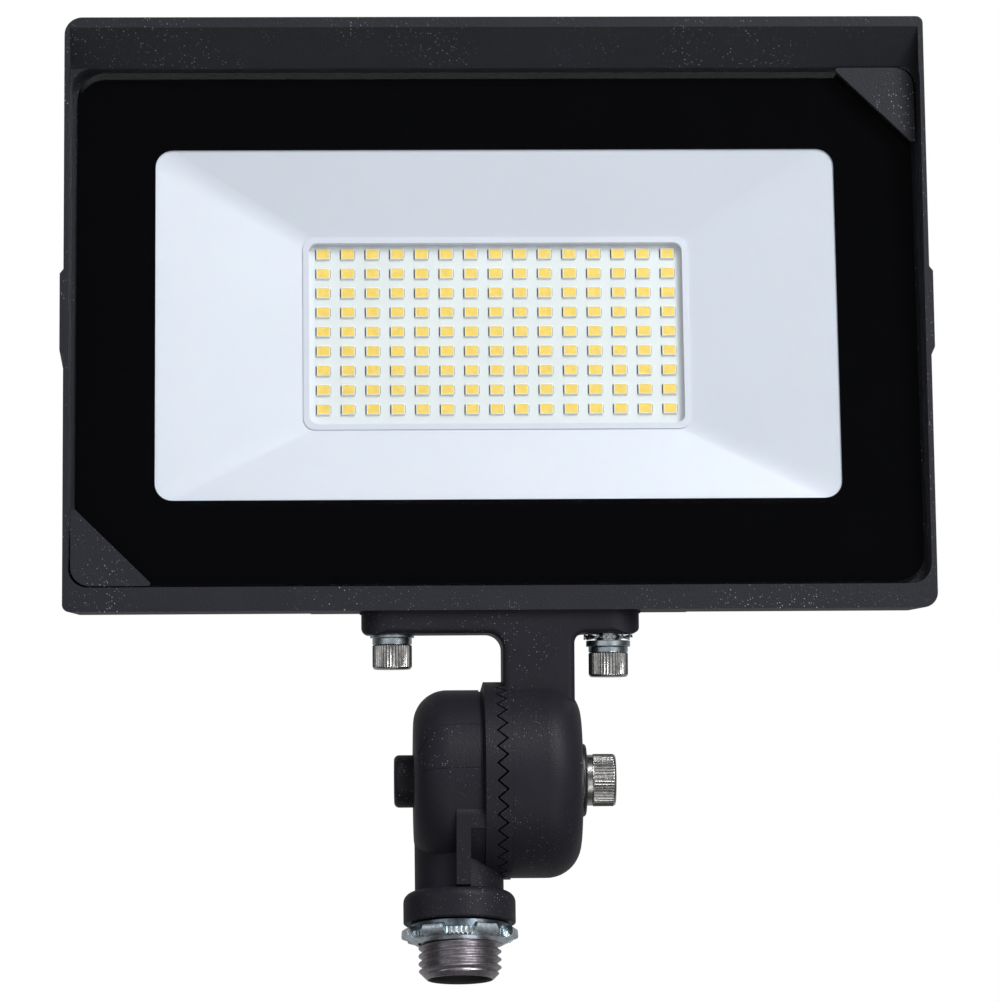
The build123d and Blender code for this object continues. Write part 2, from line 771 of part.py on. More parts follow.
def fins():
    """Upright cooling fins behind the base plate."""
    low = plate_back * tan(radians(wall_slope)) + fin_end_gap
    high = roof_at_plate() - fin_end_gap
    back = plate_back + fin_depth
    rise = fin_depth * tan(radians(fin_end_slope))
    root = plate_back - plate_thick / 2
    profile = [(root, low), (back, low + rise), (back, high - rise), (root, high)]
    reach = rim_width / 2 - fin_margin
    step = 2 * reach / (fin_count - 1)
    face = make_face(Polyline(*profile, close=True))
    places = [-reach + n * step for n in range(fin_count)]
    return [side_prism(face, x - fin_thick / 2, x + fin_thick / 2) for x in places]


def mount_bar():
    """Bar behind the plate that carries the back of the flange."""
    slope = tan(radians(wall_slope))
    root = plate_back - plate_thick / 2
    profile = [(root, root * slope), (bar_back, bar_back * slope), (bar_back, bar_top),
               (root, bar_top)]
    return side_prism(make_face(Polyline(*profile, close=True)), -bar_half_width, bar_half_width)


def cover_screw_places():
    """X and Z of the six rear cover screws."""
    x = driver_half_width - driver_wall - cover_boss_r / 2
    z0 = driver_bottom + driver_wall + cover_boss_r / 2
    z1 = driver_top - driver_wall - cover_boss_r / 2
    return [(side * x, z) for side in (-1, 1) for z in (z0, (z0 + z1) / 2, z1)]


def driver_screw_places():
    """X and Z of the four driver board screws."""
    x = driver_board_half_width - driver_hole_inset
    z0 = driver_board_bottom + driver_hole_inset
    z1 = driver_board_top - driver_hole_inset
    return [(side * x, z) for side in (-1, 1) for z in (z0, z1)]


def reflector_screw_places():
    """X and Z of the four reflector screws."""
    x = chamber_half_width - reflector_flange_margin - post_inset
    z0 = chamber_bottom + reflector_flange_margin + post_inset
    z1 = chamber_top - reflector_flange_margin - post_inset
    return [(side * x, z) for side in (-1, 1) for z in (z0, z1)]


def board_screw_places():
    """X and Z of the six LED board screws."""
    x = board_half_width - board_screw_inset
    z0 = board_bottom + board_screw_inset
    z1 = board_top - board_screw_inset
    return [(side * x, z) for side in (-1, 1) for z in (z0, (z0 + z1) / 2, z1)]


def ground_place():
    """X and Z of the ground screw."""
    return (-driver_half_width / 2, grommet_z)


def housing():
    """Die cast housing: rim, visor, lens pocket, base plate, fins and driver box."""
    body = housing_shell() + [side_pad(), mirror(side_pad(), Plane.YZ)]
    body -= lens_pocket()
    room = front_rectangle(chamber_half_width, chamber_bottom, chamber_top, chamber_round)
    body -= front_prism(room, ledge_y - past, plate_front)

    box_outer = front_rectangle(driver_half_width, driver_bottom, driver_top, driver_round)
    box_inner = front_rectangle(driver_half_width - driver_wall, driver_bottom + driver_wall,
                                driver_top - driver_wall, driver_round - driver_wall)
    root = plate_back - plate_thick / 2
    body = body + fins() + mount_bar() + front_prism(box_outer, root, driver_back)
    body -= front_prism(box_inner, plate_back, driver_back + past)

    posts = [rod_y(post_r, x, z, flange_back, plate_front + past)
             for x, z in reflector_screw_places()]
    bosses = [rod_y(cover_boss_r, x, z, root, driver_back) for x, z in cover_screw_places()]
    standoffs = [rod_y(standoff_r, x, z, root, plate_back + standoff_height)
                 for x, z in driver_screw_places() + [ground_place()]]
    body = body + posts + bosses + standoffs

    m3_hole = m3_r + thread_gap
    m4_hole = m4_r + thread_gap
    drills = [rod_y(m3_hole, x, z, flange_back - past, flange_back + m3_bite + thread_gap)
              for x, z in reflector_screw_places()]
    drills += [rod_y(m3_hole, x, z, plate_front - past, plate_front + m3_bite + thread_gap)
               for x, z in board_screw_places()]
    standoff_top = plate_back + standoff_height
    drills += [rod_y(m3_hole, x, z, standoff_top - m3_bite - past, standoff_top + past)
               for x, z in driver_screw_places() + [ground_place()]]
    drills += [rod_y(m4_hole, x, z, driver_back - m4_bite - past, driver_back + past)
               for x, z in cover_screw_places()]
    drills.append(rod_y(grommet_hole_r, 0, grommet_z, plate_front - past, plate_back + past))
    drills += [pad_hole(), mirror(pad_hole(), Plane.YZ)]
    slot_y = lead_slot_y()
    drills.append(Pos(lead_hole_x, slot_y, 0) * rod_z(lead_hole_r, -past, chamber_bottom + past))
    body -= drills

    body = HEAD * body
    for x in screw_places():
        hole = rod_z(m6_r + thread_gap, wall_reach - past, wall_reach + m6_hole_depth)
        body -= PIVOT * Pos(x, 0, 0) * hole
    return body


def lead_slot_y():
    """Depth in the housing at which the arm's slot meets the bottom wall."""
    return rim_edge_ahead * cos(radians(wall_slope))


# Lens

def glass_lens():
    """Toughened glass with two cut corners for the corner covers."""
    face = corner_cut_face(glass_half_width, glass_bottom, glass_top, glass_round,
                           glass_corner_cut)
    return HEAD * front_prism(face, glass_front, glass_back)


def lens_border():
    """Black ceramic print fired on the back of the glass, around the clear window."""
    face = corner_cut_face(glass_half_width, glass_bottom, glass_top, glass_round,
                           glass_corner_cut)
    window = front_rectangle(window_half_width, window_bottom, window_top, window_round)
    return HEAD * front_prism(face - window, glass_back, border_back)


def lens_gasket():
    """Silicone ring between the glass and the ledge of the housing."""
    outer = corner_cut_face(glass_half_width - lens_gasket_inset, glass_bottom + lens_gasket_inset,
                            glass_top - lens_gasket_inset, glass_round, glass_corner_cut)
    inner = front_rectangle(chamber_half_width + lens_gasket_land,
                            chamber_bottom - lens_gasket_land,
                            chamber_top + lens_gasket_land, lens_gasket_round)
    return HEAD * front_prism(outer - inner, border_back, ledge_y)


def corner_cover():
    """Cover of the upper right corner: a thin triangle on a post that stands on the ledge."""
    x = pocket_half_width - cover_gap
    z = pocket_top - cover_gap
    tip = cover_tip_round
    plate = rounded([(x, z), (x, z - cover_leg), (x - cover_leg, z)], [pocket_round, tip, tip])
    post = rounded([(x, z), (x, z - cover_post_leg), (x - cover_post_leg, z)],
                   [pocket_round / 2, tip, tip])
    trimmed = post & plate
    back = glass_front - lay_gap
    return front_prism(plate, back - cover_plate_thick, back) + front_prism(trimmed, back, ledge_y)


def corner_cover_upper_right():
    """Corner cover above the lens on the right."""
    return HEAD * corner_cover()


def corner_cover_lower_left():
    """The same cover turned half round about the middle of the lens."""
    middle = Pos(0, 0, (pocket_top + pocket_bottom) / 2)
    return HEAD * middle * Rot(0, 180, 0) * middle.inverse() * corner_cover()


# Light engine

def funnel(grow):
    """Tapered block from the window to the lip, grown sideways by a wall."""
    mouth = front_rectangle(window_half_width + grow, window_bottom - grow, window_top + grow,
                            window_round + grow)
    lip = front_rectangle(lip_half_width + grow, lip_bottom - grow, lip_top + grow,
                          lip_round + grow)
    return loft([Plane.XZ.offset(-reflector_front) * mouth, Plane.XZ.offset(-lip_front) * lip])


def reflector():
    """White moulded reflector: a flat flange, a shallow funnel and a lip around the LEDs."""
    flange = front_prism(
        front_rectangle(chamber_half_width - reflector_flange_margin,
                        chamber_bottom + reflector_flange_margin,
                        chamber_top - reflector_flange_margin, reflector_flange_round),
        flange_front, flange_back)
    lip_outer = front_rectangle(lip_half_width + reflector_wall, lip_bottom - reflector_wall,
                                lip_top + reflector_wall, lip_round + reflector_wall)
    lip_face = front_rectangle(lip_half_width, lip_bottom, lip_top, lip_round)
    lip_inner = front_rectangle(lip_half_width - lip_width, lip_bottom + lip_width,
                                lip_top - lip_width, lip_round - lip_width / 2)
    body = flange + funnel(reflector_wall) + front_prism(lip_outer, lip_front, lip_back)
    body -= funnel(0)
    body += front_prism(lip_face, lip_front - lip_rise, lip_back)
    body -= front_prism(lip_inner, reflector_front, lip_back + past)
    for x, z in reflector_screw_places():
        body -= rod_y(m3_r + screw_play, x, z, flange_front - past, flange_back + past)
    return HEAD * body


def small_screw(shank_r, head_r, head_height, length, x, z, seat_y, facing):
    """Pan head screw along Y. facing is 1 where its head is on the -Y side of the seat."""
    head = rod_y(head_r, 0, 0, -head_height, 0)
    shank = rod_y(shank_r, 0, 0, 0, length)
    cross = Rectangle(head_r, m3_drive) + Rectangle(m3_drive, head_r)
    drive = front_prism(cross, -head_height, -head_height / 2)
    turn = Rot(0, 0, 0 if facing > 0 else 180)
    return Pos(x, seat_y, z) * turn * (head + shank - drive)


def reflector_screws():
    """Four screws that hold the reflector to its posts, hidden behind the black border."""
    length = reflector_wall + m3_bite
    return [HEAD * small_screw(m3_r, m3_head_r, m3_head_height, length, x, z, flange_front, 1)
            for x, z in reflector_screw_places()]


def led_board():
    """White aluminium-core board that carries the LEDs."""
    face = front_rectangle(board_half_width, board_bottom, board_top, board_round)
    board = front_prism(face, board_front, board_back)
    for x, z in board_screw_places():
        board -= rod_y(m3_r + screw_play, x, z, board_front - past, board_back + past)
    return HEAD * board


def leds():
    """Fifteen columns and nine rows of LED packages."""
    package = block(-led_width / 2, led_width / 2, board_front - led_thick, board_front,
                    -led_height / 2, led_height / 2)
    packages = []
    for column in range(led_columns):
        for row in range(led_rows):
            x = (column - (led_columns - 1) / 2) * led_pitch_x
            z = led_centre_z + (row - (led_rows - 1) / 2) * led_pitch_z
            packages.append(HEAD * Pos(x, 0, z) * package)
    return packages


def led_board_screws():
    """Six screws that clamp the LED board to the base plate."""
    length = board_thick + pad_thick + m3_bite - lay_gap
    return [HEAD * small_screw(m3_r, m3_head_r, m3_head_height, length, x, z, board_front, 1)
            for x, z in board_screw_places()]


def thermal_pad():
    """Heat-conducting sheet between the LED board and the base plate."""
    face = front_rectangle(board_half_width, board_bottom, board_top, board_round)
    sheet = front_prism(face, board_back, plate_front)
    for x, z in board_screw_places():
        sheet -= rod_y(m3_r + screw_play, x, z, board_front, plate_front + past)
    return HEAD * sheet


# Driver

def lead_grommet():
    """Rubber bush in the base plate for the two LED leads."""
    bush = rod_y(grommet_hole_r - press_gap, 0, grommet_z, plate_front, plate_back)
    bush += rod_y(grommet_lip_r, 0, grommet_z, plate_front - grommet_lip_thick, plate_front)
    bush += rod_y(grommet_lip_r, 0, grommet_z, plate_back, plate_back + grommet_lip_thick)
    front = plate_front - grommet_lip_thick
    back = plate_back + grommet_lip_thick
    return HEAD * (bush - rod_y(grommet_bore_r, 0, grommet_z, front - past, back + past))


def led_leads():
    """Two leads from the LED board through the grommet to the driver's terminals."""
    front_y = board_front - lead_r
    back_y = driver_board_back + terminal_depth / 2
    start_z = board_bottom + lead_start
    end_z = driver_board_bottom
    leads = []
    for x in (-lead_spacing / 2, lead_spacing / 2):
        route = FilletPolyline((x, front_y, start_z), (x, front_y, grommet_z),
                               (x, back_y, grommet_z), (x, back_y, end_z), radius=lead_bend_r)
        start = Plane((x, front_y, start_z), z_dir=(0, 0, -1))
        leads.append(HEAD * sweep(start * Circle(lead_r), path=route))
    return leads


def driver_board():
    """Circuit board of the driver, on four standoffs."""
    face = front_rectangle(driver_board_half_width, driver_board_bottom, driver_board_top,
                           board_round)
    board = front_prism(face, driver_board_front, driver_board_back)
    for x, z in driver_screw_places():
        board -= rod_y(m3_r + screw_play, x, z, driver_board_front - past,
                       driver_board_back + past)
    return HEAD * board


def driver_screws():
    """Four screws that hold the driver board."""
    length = driver_board_thick + m3_bite - lay_gap
    return [HEAD * small_screw(m3_r, m3_head_r, m3_head_height, length, x, z,
                               driver_board_back, -1)
            for x, z in driver_screw_places()]


def driver_terminals():
    """Output terminals at the lower edge of the board and input terminals at its upper left."""
    block_shape = block(-terminal_width / 2, terminal_width / 2, driver_board_back,
                        driver_board_back + terminal_depth, 0, terminal_height)
    supply_x = -driver_board_half_width + driver_hole_inset + terminal_width
    return [HEAD * Pos(0, 0, driver_board_bottom) * block_shape,
            HEAD * Pos(supply_x, 0, driver_board_top - terminal_height) * block_shape]


def driver_transformer():
    """Transformer: a ferrite core around a taped winding."""
    z = (driver_board_bottom + driver_board_top) / 2
    back = driver_board_back + transformer_deep
    core = block(-transformer_width / 2, transformer_width / 2, driver_board_back, back,
                 z - transformer_tall / 2, z + transformer_tall / 2)
    wound = fillet(core.edges().filter_by(Axis.Y), transformer_round)
    return HEAD * wound


def driver_capacitors():
    """Two electrolytic capacitors that stand on the board."""
    z = driver_board_bottom + (driver_board_top - driver_board_bottom) / 4
    x = transformer_width / 2 + 2 * capacitor_r
    can = rod_y(capacitor_r, 0, 0, driver_board_back, driver_board_back + capacitor_long)
    can = chamfer(can.edges().sort_by(Axis.Y)[-1], capacitor_chamfer)
    return [HEAD * Pos(side * x, 0, z) * can for side in (-1, 1)]


def driver_chips():
    """Switching transistor and rectifier, flat on the board."""
    z = (driver_board_bottom + driver_board_top) / 2 + transformer_tall / 2
    x = transformer_width / 2 + chip_long / 2 + chip_gap
    chip = block(-chip_long / 2, chip_long / 2, driver_board_back,
                 driver_board_back + chip_thick, 0, chip_tall)
    return [HEAD * Pos(side * x, 0, z) * chip for side in (-1, 1)]


def ground_screw():
    """Screw for the ground lead, in its own boss."""
    x, z = ground_place()
    seat = plate_back + standoff_height
    return HEAD * small_screw(m3_r, m3_head_r, m3_head_height, m3_bite - lay_gap, x, z, seat, -1)


# Rear cover

def rear_cover_gasket():
    """Gasket between the driver box and its cover."""
    outer = front_rectangle(driver_half_width, driver_bottom, driver_top, driver_round)
    inner = front_rectangle(driver_half_width - driver_wall, driver_bottom + driver_wall,
                            driver_top - driver_wall, driver_round - driver_wall)
    sheet = front_prism(outer - inner, driver_back, cover_front)
    for x, z in cover_screw_places():
        sheet += rod_y(cover_boss_r, x, z, driver_back, cover_front)
    for x, z in cover_screw_places():
        sheet -= rod_y(m4_r + screw_play, x, z, driver_back - past, cover_front + past)
    return HEAD * sheet


def rear_cover():
    """Cover of the driver box, with a raised middle and a hole for the vent."""
    face = front_rectangle(driver_half_width, driver_bottom, driver_top, driver_round)
    raised = front_rectangle(driver_half_width - cover_pan_inset, driver_bottom + cover_pan_inset,
                             driver_top - cover_pan_inset, driver_round)
    cover = front_prism(face, cover_front, cover_back)
    cover += front_prism(raised, cover_back - cover_root, cover_back + cover_pan)
    for x, z in cover_screw_places():
        cover -= rod_y(m4_r + screw_play, x, z, cover_front - past, cover_back + past)
    cover -= rod_y(vent_thread_r + press_gap, vent_x, vent_z, cover_front - past,
                   cover_back + cover_pan + past)
    return HEAD * cover


def rear_cover_screws():
    """Six screws of the rear cover."""
    length = cover_thick + cover_gasket_thick + m4_bite - m4_end_gap
    return [HEAD * small_screw(m4_r, m4_head_r, m4_head_height, length, x, z, cover_back, -1)
            for x, z in cover_screw_places()]


def breather_vent():
    """Screwed membrane vent that lets the driver box breathe."""
    seat = cover_back + cover_pan
    cap = rod_y(vent_r, vent_x, vent_z, seat, seat + vent_height)
    slot = block(vent_r - vent_slot_deep, vent_r + past, seat + vent_slot_margin,
                 seat + vent_height - vent_slot_margin, -vent_slot_width / 2, vent_slot_width / 2)
    for n in range(vent_slots):
        cap -= Pos(vent_x, 0, vent_z) * Rot(0, n * 360 / vent_slots, 0) * slot
    inner = cover_front - vent_stem_reach
    stem = rod_y(vent_thread_r, vent_x, vent_z, inner, seat)
    bore = rod_y(vent_thread_r / 2, vent_x, vent_z, inner - past, seat + vent_slot_margin)
    return HEAD * (cap + stem - bore)


NODES = [
    knuckle_lower, conduit_nipple, knuckle_o_ring, locknut, knuckle_upper, flange_gasket,
    flange_screws, flange_flat_washers, flange_spring_washers, flange_star_washer, pivot_washer,
    pivot_bolt, housing, glass_lens, lens_border, lens_gasket, corner_cover_upper_right,
    corner_cover_lower_left, reflector, reflector_screws, led_board, leds, led_board_screws,
    thermal_pad, lead_grommet, led_leads, driver_board, driver_screws, driver_terminals,
    driver_transformer, driver_capacitors, driver_chips, ground_screw, rear_cover_gasket,
    rear_cover, rear_cover_screws, breather_vent,
]

os.makedirs("parts", exist_ok=True)
for make in NODES:
    made = make()
    pieces = made if isinstance(made, list) else [made]
    solids = [solid for piece in pieces for solid in piece.solids()]
    whole = solids[0] if len(solids) == 1 else Compound(children=solids)
    whole.label = make.__name__
    export_step(whole, f"parts/{make.__name__}.step")
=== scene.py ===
"""The looks of the LED flood light: finishes, dressed pieces, light and camera.

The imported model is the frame. Its origin is the centre of the knuckle's lower face, +Z points
up the conduit nipple, the light shines towards -Y and +X is the viewer's right. Sizes in this
file are millimetres, and make() turns each finished mesh into metres.
"""
from __future__ import annotations

import json
import logging
from collections.abc import Sequence
from dataclasses import dataclass, field
from enum import Enum
from math import cos, pi, radians, sin, sqrt, tau
from typing import Any

import bmesh
import bpy
from mathutils import Matrix, Vector
from mathutils.geometry import tessellate_polygon

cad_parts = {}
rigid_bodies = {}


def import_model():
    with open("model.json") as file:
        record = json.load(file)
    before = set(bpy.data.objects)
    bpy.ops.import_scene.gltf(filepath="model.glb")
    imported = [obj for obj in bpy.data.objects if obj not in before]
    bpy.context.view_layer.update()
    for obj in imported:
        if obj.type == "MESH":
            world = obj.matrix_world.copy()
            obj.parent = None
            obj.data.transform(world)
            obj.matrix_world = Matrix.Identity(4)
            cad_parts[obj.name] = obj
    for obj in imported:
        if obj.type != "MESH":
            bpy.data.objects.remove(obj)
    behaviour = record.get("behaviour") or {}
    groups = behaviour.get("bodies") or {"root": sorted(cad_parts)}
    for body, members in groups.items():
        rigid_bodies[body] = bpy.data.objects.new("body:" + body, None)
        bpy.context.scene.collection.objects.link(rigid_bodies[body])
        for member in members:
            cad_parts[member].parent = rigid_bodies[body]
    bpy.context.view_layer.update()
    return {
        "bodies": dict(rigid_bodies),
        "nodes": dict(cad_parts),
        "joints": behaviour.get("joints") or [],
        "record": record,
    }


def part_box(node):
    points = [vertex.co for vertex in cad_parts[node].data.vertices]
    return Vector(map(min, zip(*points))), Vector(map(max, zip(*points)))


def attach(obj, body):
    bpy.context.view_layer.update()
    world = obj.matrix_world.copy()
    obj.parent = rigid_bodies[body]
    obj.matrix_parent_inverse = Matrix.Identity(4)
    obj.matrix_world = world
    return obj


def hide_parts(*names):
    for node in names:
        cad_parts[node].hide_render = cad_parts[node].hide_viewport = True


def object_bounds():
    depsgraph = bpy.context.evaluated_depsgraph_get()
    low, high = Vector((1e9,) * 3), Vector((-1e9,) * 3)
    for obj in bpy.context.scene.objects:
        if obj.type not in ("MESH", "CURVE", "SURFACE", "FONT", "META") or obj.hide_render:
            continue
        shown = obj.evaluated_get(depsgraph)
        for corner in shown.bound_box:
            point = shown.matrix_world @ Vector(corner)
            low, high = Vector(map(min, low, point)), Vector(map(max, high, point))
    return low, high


MM = 0.001
LOG = logging.getLogger("flood_light")

Colour = tuple[float, float, float, float]
Point = tuple[float, float]


# Shader nodes

def linear(code: str) -> Colour:
    """Turn an sRGB hex colour into linear light.

    Args:
        code: Six hex digits, such as "2D2E32".

    Returns:
        Linear red, green and blue, with an alpha of 1.
    """
    shares = [int(code[n:n + 2], 16) / 255 for n in (0, 2, 4)]
    red, green, blue = [s / 12.92 if s <= 0.04045 else ((s + 0.055) / 1.055)**2.4 for s in shares]
    return red, green, blue, 1.0


def add(tree: bpy.types.NodeTree, kind: str, inputs: dict[int | str, Any] | None = None,
        **settings: Any) -> bpy.types.Node:
    """Add one shader node.

    Args:
        tree: The node tree that the node goes into.
        kind: The node's type, such as "ShaderNodeMath".
        inputs: Values for its inputs, by name or number. An output socket is linked.
        settings: The node's own settings, such as operation.

    Returns:
        The new node.
    """
    node = tree.nodes.new(kind)
    for name, value in settings.items():
        setattr(node, name, value)
    for key, value in (inputs or {}).items():
        if isinstance(value, bpy.types.NodeSocket):
            tree.links.new(value, node.inputs[key])
        else:
            node.inputs[key].default_value = value
    return node


def noise(tree: bpy.types.NodeTree, place: bpy.types.NodeSocket, size: float,
          low: float, high: float, detail: float = 2.0) -> bpy.types.NodeSocket:
    """Noise of a real size, spread between two values.

    Args:
        tree: The node tree.
        place: The place on the surface, in millimetres.
        size: Size of one blotch, in millimetres.
        low: Value in the darkest blotches.
        high: Value in the brightest blotches.
        detail: How many finer layers the noise has.

    Returns:
        The output socket.
    """
    texture = add(tree, "ShaderNodeTexNoise", {"Vector": place, "Scale": 1 / size, "Detail": detail})
    spread = add(tree, "ShaderNodeMapRange", {"Value": texture.outputs[0], "From Min": 0.3,
                                              "From Max": 0.7, "To Min": low, "To Max": high})
    return spread.outputs[0]


# Finishes

@dataclass(frozen=True)
class Finish:
    """A surface and how it was made. The other finishes add what only they have."""

    name: str
    slot: str
    colour: str
    roughness: float
    metallic: float = 0.0
    ior: float = 1.5
    patch: float = 14.0          # size of slow changes in shade
    patch_spread: float = 0.06
    grain: float = 0.5           # size of the bumps
    grain_height: float = 0.01
    stretch: tuple[float, float, float] = (1.0, 1.0, 1.0)

    def material(self) -> bpy.types.Material:
        """Make this finish's material, once.

        Returns:
            The material, shared by all that has this finish.
        """
        made = bpy.data.materials.get(self.name)
        if made is not None:
            return made
        made = bpy.data.materials.new(self.name)
        made.use_nodes = True
        tree = made.node_tree
        tree.nodes.clear()
        where = add(tree, "ShaderNodeTexCoord").outputs["Object"]
        size = [share / MM for share in self.stretch]
        place = add(tree, "ShaderNodeMapping", {"Vector": where, "Scale": size}).outputs["Vector"]
        add(tree, "ShaderNodeOutputMaterial", {"Surface": self.surface(tree, place)})
        return made

    def surface(self, tree: bpy.types.NodeTree, place: bpy.types.NodeSocket) -> bpy.types.NodeSocket:
        """Build the surface shader.

        Args:
            tree: The material's node tree.
            place: The place on the surface, in millimetres.

        Returns:
            The shader's output socket.
        """
        body = {"Base Color": self.shade(tree, place),
                "Roughness": noise(tree, place, self.patch / 2, self.roughness * 0.93,
                                   min(1.0, self.roughness * 1.07)),
                "Normal": self.relief(tree, place)}
        fixed = {"Metallic": self.metallic, "IOR": self.ior}
        return add(tree, "ShaderNodeBsdfPrincipled", {**fixed, **body, **self.extras()}).outputs[0]

    def shade(self, tree: bpy.types.NodeTree, place: bpy.types.NodeSocket) -> bpy.types.NodeSocket:
        """Base colour with slow light and dark patches.

        Args:
            tree: The material's node tree.
            place: The place on the surface, in millimetres.

        Returns:
            The colour's output socket.
        """
        change = noise(tree, place, self.patch, 1 - self.patch_spread, 1 + self.patch_spread)
        return add(tree, "ShaderNodeVectorMath", {0: linear(self.colour)[:3], "Scale": change},
                   operation="SCALE").outputs[0]

    def relief(self, tree: bpy.types.NodeTree, place: bpy.types.NodeSocket) -> bpy.types.NodeSocket:
        """Fine bumps of the finish.

        Args:
            tree: The material's node tree.
            place: The place on the surface, in millimetres.

        Returns:
            The bent normal's output socket.
        """
        height = noise(tree, place, self.grain, 0.0, 1.0)
        return add(tree, "ShaderNodeBump", {"Height": height, "Strength": 1.0,
                                            "Distance": self.grain_height * MM}).outputs[0]

    def extras(self) -> dict[str, float]:
        """Uniform values that only some finishes set on the shader.

        Returns:
            Input names and values.
        """
        return {}


@dataclass(frozen=True)
class PowderCoat(Finish):
    """Fine-textured black powder coat. Single grains of it catch the light, drawn as bright specks of
    painted glint in its colour.
    """

    speck_cell: float = 0.62     # one speck at most in a cell of this size
    speck_size: float = 0.155
    speck_share: float = 0.5     # share of the cells whose speck is bright
    # colour of the painted glints
    glint_colour: str = "B9C1C6"
    speck_patch: float = 21.0    # specks come in patches of this size
    gloss: float = 0.17          # a rough coat mirrors less than smooth plastic, which has 0.5

    def shade(self, tree: bpy.types.NodeTree, place: bpy.types.NodeSocket) -> bpy.types.NodeSocket:
        """Coat colour with bright specks of painted glint.

        Args:
            tree: The material's node tree.
            place: The place on the surface, in millimetres.

        Returns:
            The colour's output socket.
        """
        coat = super().shade(tree, place)
        cells = add(tree, "ShaderNodeTexVoronoi", {"Vector": place, "Scale": 1 / self.speck_cell})
        radius = self.speck_size / self.speck_cell
        near = add(tree, "ShaderNodeMapRange", {"Value": cells.outputs["Distance"],
                                                "From Min": radius * 0.5, "From Max": radius,
                                                "To Min": 1.0, "To Max": 0.0}).outputs[0]
        red = add(tree, "ShaderNodeSeparateColor", {0: cells.outputs["Color"]}).outputs[0]
        chosen = add(tree, "ShaderNodeMapRange", {"Value": red, "From Min": 1 - self.speck_share,
                                                  "From Max": 1.0, "To Min": 0.0, "To Max": 0.9})
        crowd = noise(tree, place, self.speck_patch, -0.8, 1.3)
        speck = add(tree, "ShaderNodeMath", {0: near, 1: chosen.outputs[0]}, operation="MULTIPLY")
        share = add(tree, "ShaderNodeMath", {0: speck.outputs[0], 1: crowd}, operation="MULTIPLY")
        # the painted glints are mixed into the coat colour
        return add(tree, "ShaderNodeMix", {0: share.outputs[0], 6: coat,
                                           7: linear(self.glint_colour)},
                   data_type="RGBA").outputs[2]

    def extras(self) -> dict[str, float]:
        """The coat's weak gloss.

        Returns:
            Input names and values.
        """
        return {"Specular IOR Level": self.gloss}


@dataclass(frozen=True)
class StreakedMetal(Finish):
    """Bare or plated metal with bright and dark streaks in random places."""

    dark: str = "5A626A"
    streak: float = 1.2          # width of a streak

    def shade(self, tree: bpy.types.NodeTree, place: bpy.types.NodeSocket) -> bpy.types.NodeSocket:
        """Metal colour that changes to its dark tone in streaks.

        Args:
            tree: The material's node tree.
            place: The place on the surface, in millimetres.

        Returns:
            The colour's output socket.
        """
        share = noise(tree, place, self.streak, 0.0, 1.0, detail=3.0)
        return add(tree, "ShaderNodeMix", {0: share, 6: linear(self.dark), 7: linear(self.colour)},
                   data_type="RGBA").outputs[2]


@dataclass(frozen=True)
class ToughenedGlass(Finish):
    """Clear toughened glass. Lamp light and soft light go straight through it."""

    def surface(self, tree: bpy.types.NodeTree, place: bpy.types.NodeSocket) -> bpy.types.NodeSocket:
        """Glass for what the eye sees and clear for the light that falls on the reflector.

        Args:
            tree: The material's node tree.
            place: The place on the surface, in millimetres.

        Returns:
            The shader's output socket.
        """
        waves = noise(tree, place, self.grain, 0.0, 1.0)
        normal = add(tree, "ShaderNodeBump", {"Height": waves, "Distance": self.grain_height * MM})
        glass = add(tree, "ShaderNodeBsdfPrincipled",
                    {"Base Color": linear(self.colour), "Roughness": self.roughness,
                     "IOR": self.ior, "Transmission Weight": 1.0, "Normal": normal.outputs[0]})
        clear = add(tree, "ShaderNodeBsdfTransparent", {"Color": linear(self.colour)})
        path = add(tree, "ShaderNodeLightPath")
        light = add(tree, "ShaderNodeMath", {0: path.outputs["Is Shadow Ray"],
                                             1: path.outputs["Is Diffuse Ray"]},
                    operation="MAXIMUM")
        return add(tree, "ShaderNodeMixShader", {0: light.outputs[0], 1: glass.outputs[0],
                                                 2: clear.outputs[0]}).outputs[0]


@dataclass(frozen=True)
class Moulded(Finish):
    """Moulded plastic or rubber, with a little light let into it."""

    depth: float = 0.0           # how far light goes in

    def extras(self) -> dict[str, float]:
        """Light that goes into the material.

        Returns:
            Input names and values.
        """
        if self.depth == 0.0:
            return {}
        return {"Subsurface Weight": 0.1, "Subsurface Scale": self.depth * MM}


@dataclass(frozen=True)
class Phosphor(Finish):
    """Silicone filled with yellow phosphor over the LED chip."""

    def extras(self) -> dict[str, float]:
        """A thin clear skin.

        Returns:
            Input names and values.
        """
        return {"Coat Weight": 0.3, "Coat Roughness": 0.2}


# Die cast aluminium, powder coated: nearly black and matte, with sparkling grains drawn as painted
# glints
COAT = PowderCoat("powder coat on die cast aluminium", "housing_coat", "26272D", 0.5,
                  grain=0.5, grain_height=0.034)
# The knuckle is a separate casting with the same coat, a little darker and warmer, with dimmer painted
# glints
KNUCKLE_COAT = PowderCoat("powder coat on cast knuckle", "knuckle_coat", "222128", 0.48,
                          grain=0.48, grain_height=0.03, speck_size=0.145, glint_colour="A3AAAF")
# Cut thread without paint: grey, with bright flanks
BARE_THREAD = StreakedMetal("bare cut thread of zinc alloy", "nipple_metal", "C2BDC2", 0.34,
                            metallic=1.0, grain=0.25, grain_height=0.012, streak=0.9,
                            dark="A39EA5", patch=5.0)
# The bore is unmachined and dull, and painted dark as painted shade for the unlit inside of the
# knuckle
BORE_PAINTED_SHADE = Finish("dull wireway wall darkened as painted shade", "nipple_metal", "2B2A2E", 0.7, metallic=0.3,
              grain=0.6, grain_height=0.02)
# Zinc plate on pressed steel: bluish and bright
ZINC = StreakedMetal("bright zinc plate on pressed steel", "zinc_plate", "DDE7EB", 0.27,
                     metallic=1.0, grain=0.35, grain_height=0.012, streak=1.6, dark="A7B6BF",
                     patch=4.0)
